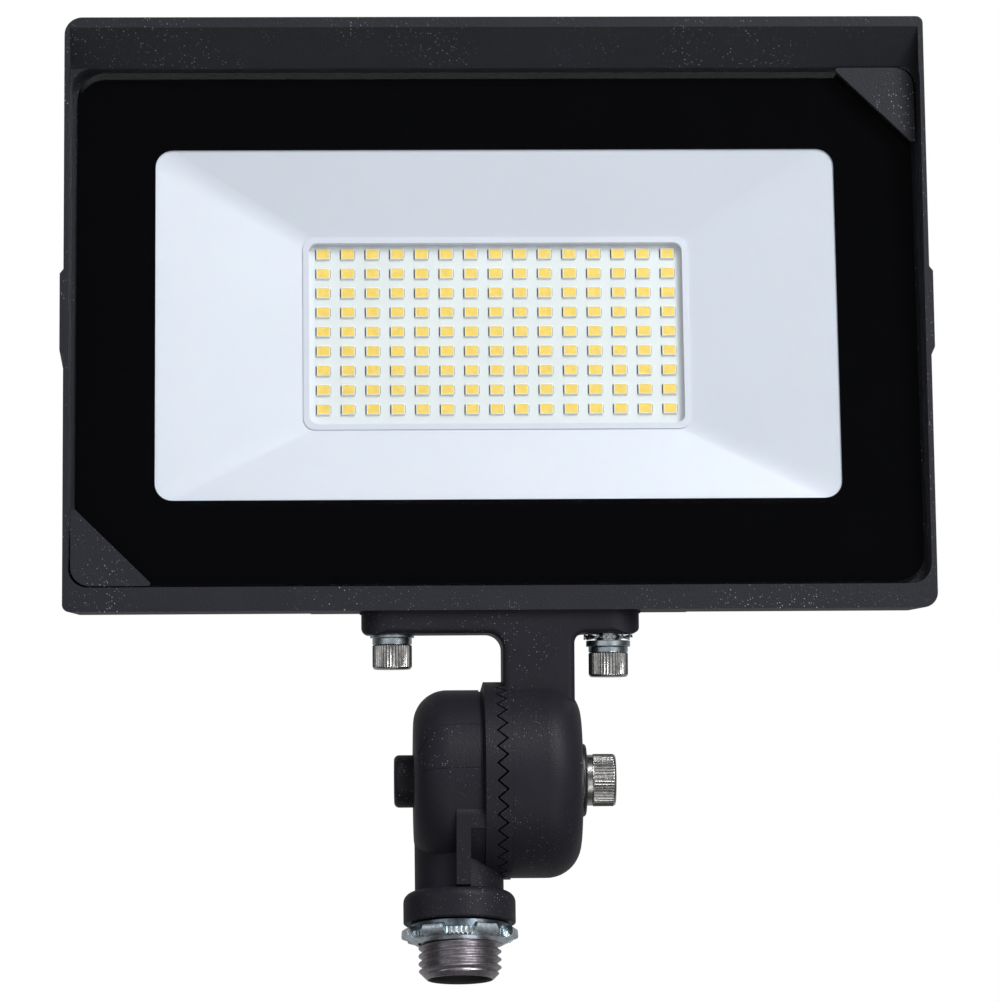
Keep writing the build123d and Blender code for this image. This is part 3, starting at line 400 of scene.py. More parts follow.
# The locknut's upper band is the same plate, darkened as painted shade, with drawn streaks
ZINC_PAINTED_SHADE = StreakedMetal("zinc plate on the locknut's ring with painted shade", "zinc_plate", "93A2AD", 0.33,
                          metallic=1.0, grain=0.3, grain_height=0.012, streak=1.2,
                          dark="65737D", patch=4.0)
# Stainless screws, cold formed with rolled knurls
STAINLESS = StreakedMetal("cold formed stainless steel", "screw_steel", "E4E3E1", 0.22,
                          metallic=1.0, grain=0.2, grain_height=0.008, streak=0.8,
                          dark="ABAAA8", patch=4.0)
# Black oxide on steel: dark and a little glossy
BLACK_STEEL = Finish("black oxide on turned steel", "black_steel", "161518", 0.38, ior=1.6,
                     grain=0.4, grain_height=0.006)
# Flat glass with hardly any waviness
GLASS = ToughenedGlass("toughened float glass", "lens_glass", "FBFDFC", 0.0, ior=1.5,
                       grain=60.0, grain_height=0.002)
# Ceramic ink fired on the back of the glass: deep black
PRINT = Finish("black ceramic print fired on glass", "border_print", "060609", 0.3,
               ior=1.01, grain=0.3, grain_height=0.001, patch_spread=0.1)
# Soft seals: black silicone
SILICONE = Finish("moulded black silicone", "seal_rubber", "121214", 0.6, ior=1.41,
                  grain=0.3, grain_height=0.006)
# White reflector plastic, smooth and slightly glossy
REFLECTOR = Moulded("moulded white reflector plastic", "reflector_white", "DEE0EE", 0.32,
                    ior=1.55, grain=0.8, grain_height=0.002, patch=40.0, patch_spread=0.012,
                    depth=0.5)
# White solder mask on the LED board
MASK = Finish("white solder mask on aluminium board", "board_white", "E9ECF0", 0.35,
              grain=0.4, grain_height=0.003, patch=20.0, patch_spread=0.02)
# Moulded body of an LED package
PACKAGE = Moulded("moulded white LED package", "board_white", "F4F4F0", 0.35, grain=0.3,
                  grain_height=0.002, patch_spread=0.02)
# The yellow window of an LED package
YELLOW = Phosphor("phosphor filled silicone", "led_phosphor", "FFDA6E", 0.35, ior=1.45,
                  patch=1.4, patch_spread=0.06, grain=0.12, grain_height=0.006)
# Solder and painted shadow beside each package, in one dark colour
SOLDER_AND_SHADOW = Finish("reflowed solder and painted shadow beside the packages", "led_phosphor", "6A6354", 0.4,
                metallic=0.4, grain=0.1, grain_height=0.004)
THERMAL = Finish("silicone thermal pad", "pad_grey", "9AA0A6", 0.7, grain=0.4, grain_height=0.01)
GREEN_BOARD = Finish("green solder mask on glass epoxy", "board_green", "12502C", 0.35,
                     grain=0.5, grain_height=0.004)
EPOXY = Finish("moulded black epoxy", "component_black", "18181A", 0.5, grain=0.15,
               grain_height=0.006)
TAPE = Finish("polyester winding tape", "winding_tape", "D8B24A", 0.3, grain=1.0,
              grain_height=0.02)
SLEEVE = Finish("shrunk sleeve of a capacitor", "can_sleeve", "1C2E55", 0.3, grain=2.0,
                grain_height=0.01)
TERMINAL = Moulded("moulded terminal nylon", "terminal_plastic", "2F6B3A", 0.45, grain=0.3,
                   grain_height=0.006)
INSULATION = Moulded("extruded lead insulation", "lead_insulation", "C8322B", 0.45, grain=0.6,
                     grain_height=0.006)
GROUND_GREEN = Finish("green dyed zinc plate", "ground_green", "2E7A4A", 0.35, metallic=0.8,
                      grain=0.3, grain_height=0.004)

CAD_FINISHES: dict[str, Finish] = {
    "housing": COAT, "corner_cover_upper_right": COAT, "corner_cover_lower_left": COAT,
    "rear_cover": COAT, "knuckle_lower": KNUCKLE_COAT, "knuckle_upper": KNUCKLE_COAT,
    "pivot_washer": BLACK_STEEL, "glass_lens": GLASS, "lens_gasket": SILICONE,
    "knuckle_o_ring": SILICONE, "flange_gasket": SILICONE, "rear_cover_gasket": SILICONE,
    "lead_grommet": SILICONE, "reflector": REFLECTOR, "reflector_screws": ZINC,
    "led_board": MASK, "led_board_screws": ZINC, "thermal_pad": THERMAL,
    "led_leads": INSULATION, "driver_board": GREEN_BOARD, "driver_screws": ZINC,
    "driver_terminals": TERMINAL, "driver_transformer": TAPE, "driver_capacitors": SLEEVE,
    "driver_chips": EPOXY, "ground_screw": GROUND_GREEN, "rear_cover_screws": BLACK_STEEL,
    "breather_vent": EPOXY,
}


# Mesh helpers

class Form(Enum):
    """Outline of one ring of a turned piece."""

    ROUND = "round"
    KNURLED = "knurled"
    HEXAGON = "hexagon"


@dataclass(frozen=True)
class Ring:
    """One ring of a turned piece. A hexagon's radius is half its width across the flats."""

    height: float
    radius: float
    form: Form = Form.ROUND


@dataclass(frozen=True)
class Knurl:
    """Straight knurl: its ridges and how deep the grooves between them are."""

    ridges: int = 44
    depth: float = 0.24

    def cut(self, angle: float) -> float:
        """Depth of the groove at an angle.

        Args:
            angle: Angle about the axis, in radians.

        Returns:
            How far the surface lies under the ridges.
        """
        return self.depth * (0.5 - 0.5 * cos(self.ridges * angle))**0.7


def ring_points(ring: Ring, segments: int, knurl: Knurl) -> list[Vector]:
    """Points of one ring about the Z axis.

    Args:
        ring: The ring.
        segments: How many points a full ring has.
        knurl: The knurl that a knurled ring has.

    Returns:
        The points, or the one point on the axis.
    """
    if ring.radius == 0:
        return [Vector((0, 0, ring.height))]
    points = []
    for n in range(segments):
        angle = tau * n / segments
        radius = ring.radius
        if ring.form is Form.KNURLED:
            radius -= knurl.cut(angle)
        elif ring.form is Form.HEXAGON:
            radius /= cos((angle + pi / 6) % (pi / 3) - pi / 6)
        points.append(Vector((radius * cos(angle), radius * sin(angle), ring.height)))
    return points


def join_rings(bm: bmesh.types.BMesh, rings: Sequence[Sequence[Vector]], closed: bool = True) -> None:
    """Skin a row of rings that have as many points each, or one at an end on the axis.

    Args:
        bm: The mesh that gets the faces.
        rings: Points of each ring.
        closed: Whether each ring's last point joins its first.
    """
    rows = [[bm.verts.new(point) for point in ring] for ring in rings]
    for low, high in zip(rows, rows[1:]):
        count = max(len(low), len(high))
        for n in range(count if closed else count - 1):
            m = (n + 1) % count
            corners = [low[n % len(low)], low[m % len(low)], high[m % len(high)], high[n % len(high)]]
            unique = list(dict.fromkeys(corners))
            bm.faces.new(unique)


def turned(rings: Sequence[Ring], segments: int = 96, knurl: Knurl = Knurl()) -> bmesh.types.BMesh:
    """Piece turned about the Z axis.

    Args:
        rings: The rings, from one end to the other.
        segments: How many points a full ring has.
        knurl: The knurl of its knurled rings.

    Returns:
        The mesh.
    """
    bm = bmesh.new()
    join_rings(bm, [ring_points(ring, segments, knurl) for ring in rings])
    return bm


def prism(bm: bmesh.types.BMesh, front: Sequence[Vector], back: Sequence[Vector]) -> None:
    """Closed prism between two outlines that have as many corners.

    Args:
        bm: The mesh that gets the prism.
        front: Corners of one end.
        back: Corners of the other end.
    """
    near = [bm.verts.new(point) for point in front]
    far = [bm.verts.new(point) for point in back]
    bm.faces.new(near)
    bm.faces.new(far)
    for n in range(len(near)):
        m = (n + 1) % len(near)
        bm.faces.new((near[n], near[m], far[m], far[n]))


def box(bm: bmesh.types.BMesh, low: Sequence[float], high: Sequence[float],
        place: Matrix = Matrix.Identity(4)) -> None:
    """Box between two corners, moved to its place.

    Args:
        bm: The mesh that gets the box.
        low: Lowest corner.
        high: Highest corner.
        place: Where the box's own frame lies.
    """
    def corner(x: float, y: float, z: float) -> Vector:
        """One corner of the box, moved."""
        return place @ Vector((x, y, z))

    ends = []
    for z in (low[2], high[2]):
        ends.append([corner(low[0], low[1], z), corner(high[0], low[1], z),
                     corner(high[0], high[1], z), corner(low[0], high[1], z)])
    prism(bm, ends[0], ends[1])


def arc(centre: Point, radius: float, start: float, end: float, steps: int) -> list[Point]:
    """Points on an arc.

    Args:
        centre: Middle of the arc.
        radius: Its radius.
        start: First angle, in degrees.
        end: Last angle, in degrees.
        steps: How many steps the arc is made of.

    Returns:
        The points, both ends included.
    """
    angles = [radians(start + (end - start) * n / steps) for n in range(steps + 1)]
    return [(centre[0] + radius * cos(a), centre[1] + radius * sin(a)) for a in angles]


def make(name: str, bm: bmesh.types.BMesh, finishes: Finish | Sequence[Finish], body: str,
         replaced: Sequence[str] = (), sharp: float = 32.0) -> bpy.types.Object:
    """Turn a finished mesh into a piece that rides on a body.

    Args:
        name: The piece's name.
        bm: Its mesh, in millimetres. It is freed.
        finishes: Its finish, or one for each material index.
        body: The body that it rides on.
        replaced: CAD nodes that it stands for.
        sharp: Edges bent more than this many degrees stay sharp.

    Returns:
        The new object.
    """
    looks = [finishes] if isinstance(finishes, Finish) else list(finishes)
    bmesh.ops.recalc_face_normals(bm, faces=bm.faces)
    bm.transform(Matrix.Scale(MM, 4))
    mesh = bpy.data.meshes.new(name)
    bm.to_mesh(mesh)
    bm.free()
    mesh.shade_smooth()
    mesh.set_sharp_from_angle(angle=radians(sharp))
    for look in looks:
        mesh.materials.append(look.material())
    piece = bpy.data.objects.new(name, mesh)
    bpy.context.scene.collection.objects.link(piece)
    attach(piece, body)
    if replaced:
        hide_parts(*replaced)
    LOG.info("%s: %d faces on %s", name, len(mesh.polygons), body)
    return piece


# Frame

@dataclass(frozen=True)
class Places:
    """Frames that the pieces are built in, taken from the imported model."""

    pivot: Matrix
    head: Matrix

    @classmethod
    def read(cls, frame: dict[str, Any]) -> Places:
        """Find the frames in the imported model.


        Returns:
            The tilt axis with the arm's lean, and the bottom front edge of the housing.
        """
        lean = 10.0
        glass_front, glass_bottom = 0.6, 7.0
        joint = next(j for j in frame["joints"] if j["name"] == "knuckle_tilt")
        height = joint["pos_m"][2] / MM
        pivot = Matrix.Translation((0, 0, height)) @ Matrix.Rotation(radians(lean), 4, "X")
        low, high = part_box("glass_lens")
        middle = (low.x + high.x) / 2 / MM
        corner = (middle, low.y / MM - glass_front, low.z / MM - glass_bottom)
        return cls(pivot, Matrix.Translation(corner))


# Knuckle

@dataclass(frozen=True)
class Teeth:
    """Pointed tips on the blunt teeth of both halves. They leave a dark zigzag gap."""

    count: int = 36
    height: float = 2.5
    inner_r: float = 18.0
    outer_r: float = 24.96
    middle_x: float = 10.65
    sunk: float = 0.2            # how far the tips start inside the blunt teeth
    blunt_gap: float = 0.3
    gap: float = 0.35            # each flank stands back this far

    def tips(self, side: int, phase: float) -> bmesh.types.BMesh:
        """Tips of one half, about the X axis.

        Args:
            side: 1 where the teeth point to +X.
            phase: Angle of the first tooth, in degrees.

        Returns:
            The mesh.
        """
        bm = bmesh.new()
        foot = self.middle_x - side * (self.blunt_gap / 2 + self.sunk)
        half_pitch = pi * self.outer_r / self.count
        for n in range(self.count):
            turn = Matrix.Rotation(radians(phase + n * 360 / self.count), 4, "X")
            ends = []
            for radius in (self.inner_r, self.outer_r):
                share = radius / self.outer_r
                rise = self.height / 2 * share - self.gap
                reach = abs(self.middle_x + side * rise - foot)
                half = reach * half_pitch / self.height
                tip = Vector((self.middle_x + side * rise, 0, radius))
                ends.append([turn @ Vector((foot, -half, radius)), turn @ Vector((foot, half, radius)),
                             turn @ tip])
            prism(bm, ends[0], ends[1])
        return bm

    def build(self, places: Places) -> None:
        """Build the tips of both halves.

        Args:
            places: The frames.
        """
        axis = Matrix.Translation(places.pivot.translation)
        lower = self.tips(1, 180 / self.count)
        lower.transform(axis)
        make("knuckle_lower_tooth_tips", lower, KNUCKLE_COAT, "base", sharp=10)
        upper = self.tips(-1, 0.0)
        upper.transform(places.pivot)
        make("knuckle_upper_tooth_tips", upper, KNUCKLE_COAT, "head", sharp=10)


@dataclass(frozen=True)
class Nipple:
    """Threaded conduit nipple. Its thread is cut down to a chamfer and a relief groove."""

    crest_r: float = 10.45
    bore_r: float = 7.5
    bottom: float = -14.1
    seat: float = 7.0
    pitch: float = 2.0
    depth: float = 1.0
    crest_at: float = -7.1       # height of a crest on the +X side
    chamfer: float = 2.1
    relief: tuple[float, float] = (-4.9, -4.1)
    relief_depth: float = 0.4
    segments: int = 120
    rows: int = 10               # rows of points for each turn of the thread

    def radius(self, angle: float, height: float) -> float:
        """Radius of the thread's surface.

        Args:
            angle: Angle about Z from +X, in radians.
            height: Height on the nipple.

        Returns:
            The radius there.
        """
        turns = (height - self.crest_at) / self.pitch - angle / tau
        away = abs((turns + 0.5) % 1.0 - 0.5) * 2
        flat = 0.14
        fall = min(1.0, max(0.0, (away - flat) / (1 - 2 * flat)))
        radius = self.crest_r - self.depth * fall
        if self.relief[0] < height < self.relief[1]:
            radius = min(radius, self.crest_r - self.relief_depth)
        return min(radius, self.crest_r - self.chamfer + height - self.bottom)

    def build(self) -> None:
        """Build the nipple."""
        bm = bmesh.new()
        first = self.bottom - self.pitch
        levels = int((-first + self.pitch) / self.pitch * self.rows)
        rows = []
        for k in range(levels + 1):
            ring = []
            for j in range(self.segments):
                angle = tau * j / self.segments
                height = first + (k / self.rows + j / self.segments) * self.pitch
                height = min(0.0, max(self.bottom, height))
                radius = self.radius(angle, height)
                ring.append(bm.verts.new((radius * cos(angle), radius * sin(angle), height)))
            rows.append(ring)
        last = self.segments - 1
        for k in range(levels):
            for j in range(last):
                bm.faces.new((rows[k][j], rows[k][j + 1], rows[k + 1][j + 1], rows[k + 1][j]))
            if k + 1 + self.rows <= levels:
                bm.faces.new((rows[k][last], rows[k + self.rows][0], rows[k + 1 + self.rows][0],
                              rows[k + 1][last]))
        end_r = self.crest_r - self.chamfer
        inside = [Ring(self.bottom, end_r), Ring(self.bottom, self.bore_r + 0.6),
                  Ring(self.bottom + 0.6, self.bore_r), Ring(self.seat, self.bore_r),
                  Ring(self.seat, self.crest_r), Ring(0.0, self.crest_r)]
        join_rings(bm, [ring_points(ring, self.segments, Knurl()) for ring in inside])
        bmesh.ops.remove_doubles(bm, verts=bm.verts, dist=0.002)
        # Faces inside the bore get the painted shade
        for face in bm.faces:
            middle = face.calc_center_median()
            if Vector((middle.x, middle.y)).length < self.bore_r + 0.35:
                face.material_index = 1
        make("threaded_conduit_nipple", bm, [BARE_THREAD, BORE_PAINTED_SHADE], "base", ["conduit_nipple"], sharp=40)


@dataclass(frozen=True)
class Locknut:
    """Pressed locknut: a drawn ring with lugs bent out of a dished flange."""

    top: float = -0.1
    bore_r: float = 10.5
    ring_r: float = 12.3
    flange_r: float = 12.9
    flange_top: float = -2.2
    flange_bottom: float = -4.5
    dish_bottom: float = -5.3    # the dish's inner edge hangs lower than its outer edge
    lug_flat: float = 14.35      # flat face of a lug, from the axis
    lug_top: float = -1.55
    lug_bottom: float = -3.9
    lug_half_top: float = 10.0   # half the width of a lug, in degrees
    lug_half_bottom: float = 14.0
    lugs: tuple[float, ...] = (-77, -30, 27.5, 75, 126, 178, 230)  # degrees from the front
    ribs: int = 72

    def build(self) -> None:
        """Build the ring with its flange, and the lugs."""
        band = turned([Ring(self.top - 0.3, self.bore_r), Ring(self.top, self.bore_r + 0.3),
                       Ring(self.top, self.ring_r - 0.4), Ring(self.top - 0.35, self.ring_r),
                       Ring(self.flange_top, self.ring_r), Ring(self.flange_top, self.bore_r)], 120)
        # the ring's band is the zinc darkened as painted shade
        make("locknut_drawn_ring", band, ZINC_PAINTED_SHADE, "locknut", ["locknut"])
        knurl = Knurl(self.ribs, 0.14)
        top, bottom = self.flange_top, self.flange_bottom
        dish = turned([Ring(top, self.bore_r), Ring(top, self.ring_r - 0.1),
                       Ring(top - 0.25, self.flange_r, Form.KNURLED),
                       Ring(bottom + 0.5, self.flange_r, Form.KNURLED),
                       Ring(bottom + 0.1, self.flange_r - 0.35),
                       Ring(bottom - 0.15, self.flange_r - 0.8),
                       Ring(self.dish_bottom, self.bore_r + 0.4),
                       Ring(self.dish_bottom + 0.3, self.bore_r), Ring(top, self.bore_r)],
                      self.ribs * 6, knurl)
        make("locknut_dished_flange", dish, ZINC, "locknut")
        lugs = bmesh.new()
        for degrees in self.lugs:
            self.lug(lugs, radians(degrees - 90))
        make("locknut_bent_lugs", lugs, ZINC, "locknut", sharp=28)

    def lug(self, bm: bmesh.types.BMesh, middle: float) -> None:
        """Add one lug: a flat-faced wedge that is narrower at its top.

        Args:
            bm: The mesh that gets the lug.
            middle: Angle of the lug's middle from +X, in radians.
        """
        steps = 6
        face = self.lug_flat
        side = [(self.ring_r - 0.8, self.lug_top + 0.5), (face - 0.5, self.lug_top + 0.1),
                (face - 0.12, self.lug_top - 0.15), (face, self.lug_top - 0.5),
                (face, self.lug_bottom + 0.5), (face - 0.15, self.lug_bottom + 0.15),
                (face - 0.6, self.lug_bottom - 0.1), (self.ring_r - 0.8, self.flange_bottom - 0.2)]
        span = side[0][1] - side[-1][1]
        rings = []
        for n in range(steps + 1):
            share = 2 * n / steps - 1
            ring = []
            for r, z in side:
                fall = (side[0][1] - z) / span
                half = self.lug_half_top + (self.lug_half_bottom - self.lug_half_top) * fall
                away = radians(half) * share
                reach = r / cos(away)
                ring.append(Vector((reach * cos(middle + away), reach * sin(middle + away), z)))
            rings.append(ring)
        join_rings(bm, rings)
        bm.verts.ensure_lookup_table()
        count = len(side)
        bm.faces.new(bm.verts[-count:])
        first = len(bm.verts) - count * (steps + 1)
        bm.faces.new(bm.verts[first:first + count])


@dataclass(frozen=True)
class DrumSeams:
    """Thin raised seams that the casting mould left on the front of the lower knuckle's drum."""

    drum_r: float = 23.0
    drum_left: float = -11.3
    corner: float = 8.5
    width: float = 0.5
    proud: float = 0.13
    steps: int = 48
    middle_seam: tuple[Point, ...] = ((5.25, -1.6), (0.0, -1.6), (-5.0, -2.0), (-9.5, -2.7))
    upper_seam: tuple[Point, ...] = ((5.25, 28.0), (-1.0, 28.0), (-4.0, 27.0), (-7.0, 22.5),
                                     (-9.6, 16.0), (-11.0, 9.0))

    def radius(self, x: float) -> float:
        """Radius of the drum at a place along X.

        Args:
            x: The place.

        Returns:
            The radius there, less on the drum's rounded end.
        """
        past = self.drum_left + self.corner - x
        if past <= 0:
            return self.drum_r
        return self.drum_r - self.corner + sqrt(max(0.0, self.corner**2 - past**2))

    def seam(self, bm: bmesh.types.BMesh, corners: Sequence[Point]) -> None:
        """Add one seam.

        Args:
            bm: The mesh that gets the seam.
            corners: Places along X and angles up from the front, in degrees.
        """
        sections = []
        for n in range(self.steps + 1):
            along = n / self.steps * (len(corners) - 1)
            k = min(int(along), len(corners) - 2)
            share = along - k
            x = corners[k][0] + (corners[k + 1][0] - corners[k][0]) * share
            up = corners[k][1] + (corners[k + 1][1] - corners[k][1]) * share
            section = []
            for across, out in ((-0.5, -0.2), (-0.2, self.proud), (0.2, self.proud), (0.5, -0.2)):
                angle = radians(up) + across * self.width / self.drum_r
                radius = self.radius(x) + out
                section.append(Vector((x, -radius * cos(angle), radius * sin(angle))))
            sections.append(section)
        join_rings(bm, sections)
        bm.verts.ensure_lookup_table()
        count = len(sections[0])
        first = len(bm.verts) - count * (self.steps + 1)
        bm.faces.new(bm.verts[-count:])
        bm.faces.new(bm.verts[first:first + count])

    def build(self, places: Places) -> None:
        """Build the seams.

        Args:
            places: The frames.
        """
        bm = bmesh.new()
        self.seam(bm, self.middle_seam)
        self.seam(bm, self.upper_seam)
        bm.transform(Matrix.Translation(places.pivot.translation))
        make("knuckle_lower_seams", bm, KNUCKLE_COAT, "base")


# Screws and washers

@dataclass(frozen=True)
class SocketScrew:
    """Socket head cap screw with a knurled head. Height 0 is the seat of its head."""

    shank_r: float
    length: float
    head_r: float
    head_height: float
    across: float
    depth: float
    collar_r: float = 0.0
    collar_height: float = 0.0
    tip_round: float = 0.5
    knurl: Knurl = field(default_factory=Knurl)

    def mesh(self) -> bmesh.types.BMesh:
        """Build the screw, from the tip of its shank at -Z to the top of its head.

        Returns:
            The mesh.
        """
        base = self.collar_height
        top = base + self.head_height
        corner = self.across / 2 / cos(pi / 6)
        rings = [Ring(-self.length, 0.0), Ring(-self.length, self.shank_r - self.tip_round),
                 Ring(-self.length + self.tip_round, self.shank_r), Ring(0.0, self.shank_r)]
        if self.collar_r:
            rings += [Ring(0.0, self.collar_r - 0.15), Ring(0.15, self.collar_r),
                      Ring(base - 0.15, self.collar_r), Ring(base, self.collar_r - 0.15)]
        rings += [Ring(base, self.head_r - 0.3), Ring(base + 0.15, self.head_r - 0.05),
                  Ring(base + 0.3, self.head_r, Form.KNURLED),
                  Ring(top - 0.75, self.head_r, Form.KNURLED), Ring(top - 0.6, self.head_r - 0.08),
                  Ring(top - 0.3, self.head_r - 0.2), Ring(top - 0.08, self.head_r - 0.45),
                  Ring(top, self.head_r - 0.75), Ring(top, corner + 0.3),
                  Ring(top - 0.25, self.across / 2, Form.HEXAGON),
                  Ring(top - self.depth, self.across / 2, Form.HEXAGON),
                  Ring(top - self.depth - 0.6, 0.0)]
        return turned(rings, self.knurl.ridges * 6, self.knurl)


@dataclass(frozen=True)
class FlangeStacks:
    """The two M6 screws under the flange, each with its washers, hanging from the flange."""

    middle: float = 10.9
    spacing: float = 54.8
    reach: float = 37.1          # pivot to the underside of the flange
    hole_r: float = 3.2
    plain_r: float = 5.6
    spring_r: float = 5.0
    star_r: float = 6.2
    star_teeth: int = 12
    star_plate: float = 0.6
    left_plain: float = 0.8
    left_spring: float = 1.8
    star_thick: float = 1.8
    right_plain: float = 1.5
    right_spring: float = 1.5
    split: float = 7.0           # half the spring washer's split, in degrees
    screw: SocketScrew = SocketScrew(3.0, 16.0, 5.0, 6.2, 5.0, 3.2)

    def build(self, places: Places) -> None:
        """Build both stacks.

        Args:
            places: The frames.
        """
        left = places.pivot @ Matrix.Translation((self.middle - self.spacing / 2, 0, self.reach))
        right = places.pivot @ Matrix.Translation((self.middle + self.spacing / 2, 0, self.reach))
        plain = bmesh.new()
        self.plain_washer(plain, left, 0.0, self.left_plain)
        self.plain_washer(plain, right, self.star_thick, self.right_plain)
        make("flange_plain_washers", plain, ZINC, "head", ["flange_flat_washers"])
        spring = bmesh.new()
        self.spring_washer(spring, left, self.left_plain, self.left_spring, 40)
        self.spring_washer(spring, right, self.star_thick + self.right_plain, self.right_spring, 200)
        make("flange_split_washers", spring, ZINC, "head", ["flange_spring_washers"])
        star = bmesh.new()
        self.star_washer(star, right)
        make("flange_toothed_washer", star, ZINC, "head", ["flange_star_washer"], sharp=20)
        left_drop = self.left_plain + self.left_spring
        right_drop = self.star_thick + self.right_plain + self.right_spring
        screws = bmesh.new()
        for place, drop in ((left, left_drop), (right, right_drop)):
            one = self.screw.mesh()
            down = place @ Matrix.Translation((0, 0, -drop)) @ Matrix.Rotation(pi, 4, "X")
            one.transform(down)
            part = bpy.data.meshes.new("part")
            one.to_mesh(part)
            one.free()
            screws.from_mesh(part)
            bpy.data.meshes.remove(part)
        make("flange_socket_screws", screws, STAINLESS, "head", ["flange_screws"])

    def plain_washer(self, bm: bmesh.types.BMesh, place: Matrix, drop: float, thick: float) -> None:
        """Add a punched washer with slightly rounded edges.

        Args:
            bm: The mesh that gets the washer.
            place: The flange's underside at the screw.
            drop: Depth of the washer's top under the flange.
            thick: Its thickness.
        """
        edge = 0.12
        low, high = -drop - thick, -drop
        rings = [Ring(low, self.hole_r), Ring(low, self.plain_r - edge),
                 Ring(low + edge, self.plain_r), Ring(high - edge, self.plain_r),
                 Ring(high, self.plain_r - edge), Ring(high, self.hole_r), Ring(low, self.hole_r)]
        points = [ring_points(ring, 96, Knurl()) for ring in rings]
        join_rings(bm, [[place @ point for point in ring] for ring in points])

    def spring_washer(self, bm: bmesh.types.BMesh, place: Matrix, drop: float, thick: float,
                      turn: float) -> None:
        """Add a split washer whose ends are a little out of line.

        Args:
            bm: The mesh that gets the washer.
            place: The flange's underside at the screw.
            drop: Depth of the washer's top under the flange.
            thick: Its thickness.
            turn: Angle of the split, in degrees.
        """
        edge = 0.15
        climb = 0.12             # the split's two ends lie this far apart
        steps = 72
        side = [(self.hole_r, -thick + edge), (self.hole_r + edge, -thick),
                (self.spring_r - edge, -thick), (self.spring_r, -thick + edge),
                (self.spring_r, -edge - climb), (self.spring_r - edge, -climb),
                (self.hole_r + edge, -climb), (self.hole_r, -edge - climb)]
        sections = []
        for n in range(steps + 1):
            angle = radians(turn + self.split + (360 - 2 * self.split) * n / steps)
            rise = climb * n / steps
            sections.append([place @ Vector((r * cos(angle), r * sin(angle), -drop + z + rise))
                             for r, z in side])
        join_rings(bm, sections)
        bm.verts.ensure_lookup_table()
        first = len(bm.verts) - len(side) * (steps + 1)
        bm.faces.new(bm.verts[-len(side):])
        bm.faces.new(bm.verts[first:first + len(side)])

    def star_washer(self, bm: bmesh.types.BMesh, place: Matrix) -> None:
        """Add a thin ring with twisted teeth.

        Args:
            bm: The mesh that gets the washer.
            place: The flange's underside at the screw.
        """
        middle = -self.star_thick / 2
        half = self.star_plate / 2
        inner = self.star_r - 1.6
        rings = [Ring(middle - half, self.hole_r), Ring(middle - half, inner),
                 Ring(middle + half, inner), Ring(middle + half, self.hole_r),
                 Ring(middle - half, self.hole_r)]
        points = [ring_points(ring, 96, Knurl()) for ring in rings]
        join_rings(bm, [[place @ point for point in ring] for ring in points])
        width = 0.72 * pi * inner / self.star_teeth
        for n in range(self.star_teeth):
            spin = Matrix.Rotation(tau * n / self.star_teeth, 4, "Z")
            ends = []
            for radius, twist, share in ((inner - 0.3, 0.0, 1.0), (self.star_r, 0.62, 0.85)):
                roll = Matrix.Rotation(twist, 4, "X")
                corners = [(-width * share, -half), (width * share, -half),
                           (width * share, half), (-width * share, half)]
                ends.append([place @ Matrix.Translation((0, 0, middle)) @ spin
                             @ (Vector((radius, 0, 0)) + roll @ Vector((0, y, z)))
                             for y, z in corners])
            prism(bm, ends[0], ends[1])


@dataclass(frozen=True)
class PivotBolt:
    """M8 socket screw that is the tilt axle, with a collar under its knurled head."""

    seat: float = 32.45          # the collar's face, along X
    screw: SocketScrew = SocketScrew(4.0, 45.95, 6.63, 5.9, 6.0, 4.0, 6.45, 1.5, 0.8,
                                     Knurl(52, 0.26))

    def build(self, places: Places) -> None:
        """Build the bolt.

        Args:
            places: The frames.
        """
        bolt = self.screw.mesh()
        place = Matrix.Translation(places.pivot.translation) @ Matrix.Translation((self.seat, 0, 0))
        bolt.transform(place @ Matrix.Rotation(pi / 2, 4, "Y"))
        make("pivot_socket_screw", bolt, STAINLESS, "pivot_bolt", ["pivot_bolt"])


# Lens and light engine

@dataclass(frozen=True)
class Border:
    """Black print on the back of the glass, a hair behind it, with a clear window."""

    half_width: float = 107.3
    bottom: float = 7.0
    top: float = 142.1
    corner: float = 7.2
    cut: float = 7.0
    window_half: float = 87.3
    window_bottom: float = 29.4
    window_top: float = 122.1
    window_corner: float = 4.5
    front: float = 4.62
    thick: float = 0.12

    def build(self, places: Places) -> None:
        """Build the border.

        Args:
            places: The frames.
        """
        outer = self.outline()
        inner = self.window()
        loops = [[Vector((x, z, 0)) for x, z in loop] for loop in (outer, inner)]
        corners = loops[0] + loops[1]
        bm = bmesh.new()
        for depth in (self.front, self.front + self.thick):
            layer = [bm.verts.new(places.head @ Vector((p.x, depth, p.y))) for p in corners]
            for triangle in tessellate_polygon(loops):
                bm.faces.new([layer[n] for n in triangle])
        bm.verts.ensure_lookup_table()
        count = len(corners)
        start = 0
        for loop in loops:
            for n in range(len(loop)):
                a, b = start + n, start + (n + 1) % len(loop)
                bm.faces.new([bm.verts[i] for i in (a, b, b + count, a + count)])
            start += len(loop)
        make("printed_border", bm, PRINT, "head", ["lens_border"])

    def outline(self) -> list[Point]:
        """Outer outline of the print, with two cut corners.

        Returns:
            Points in X and Z.
        """
        x, r, cut = self.half_width, self.corner, self.cut
        points = [(x - cut, self.top), (x, self.top - cut)]
        points += arc((x - r, self.bottom + r), r, 0, -90, 10)
        points += [(-x + cut, self.bottom), (-x, self.bottom + cut)]
        points += arc((-x + r, self.top - r), r, 180, 90, 10)
        return points

    def window(self) -> list[Point]:
        """Outline of the clear window.

        Returns:
            Points in X and Z.
        """
        x, r = self.window_half, self.window_corner
        corners = ((x, self.window_top, 0), (-x, self.window_top, 90),
                   (-x, self.window_bottom, 180), (x, self.window_bottom, 270))
        points = []
        for cx, cz, start in corners:
            middle = (cx - r * (1 if cx > 0 else -1), cz - r * (1 if start < 180 else -1))
            points += arc(middle, r, start, start + 90, 8)
        return points


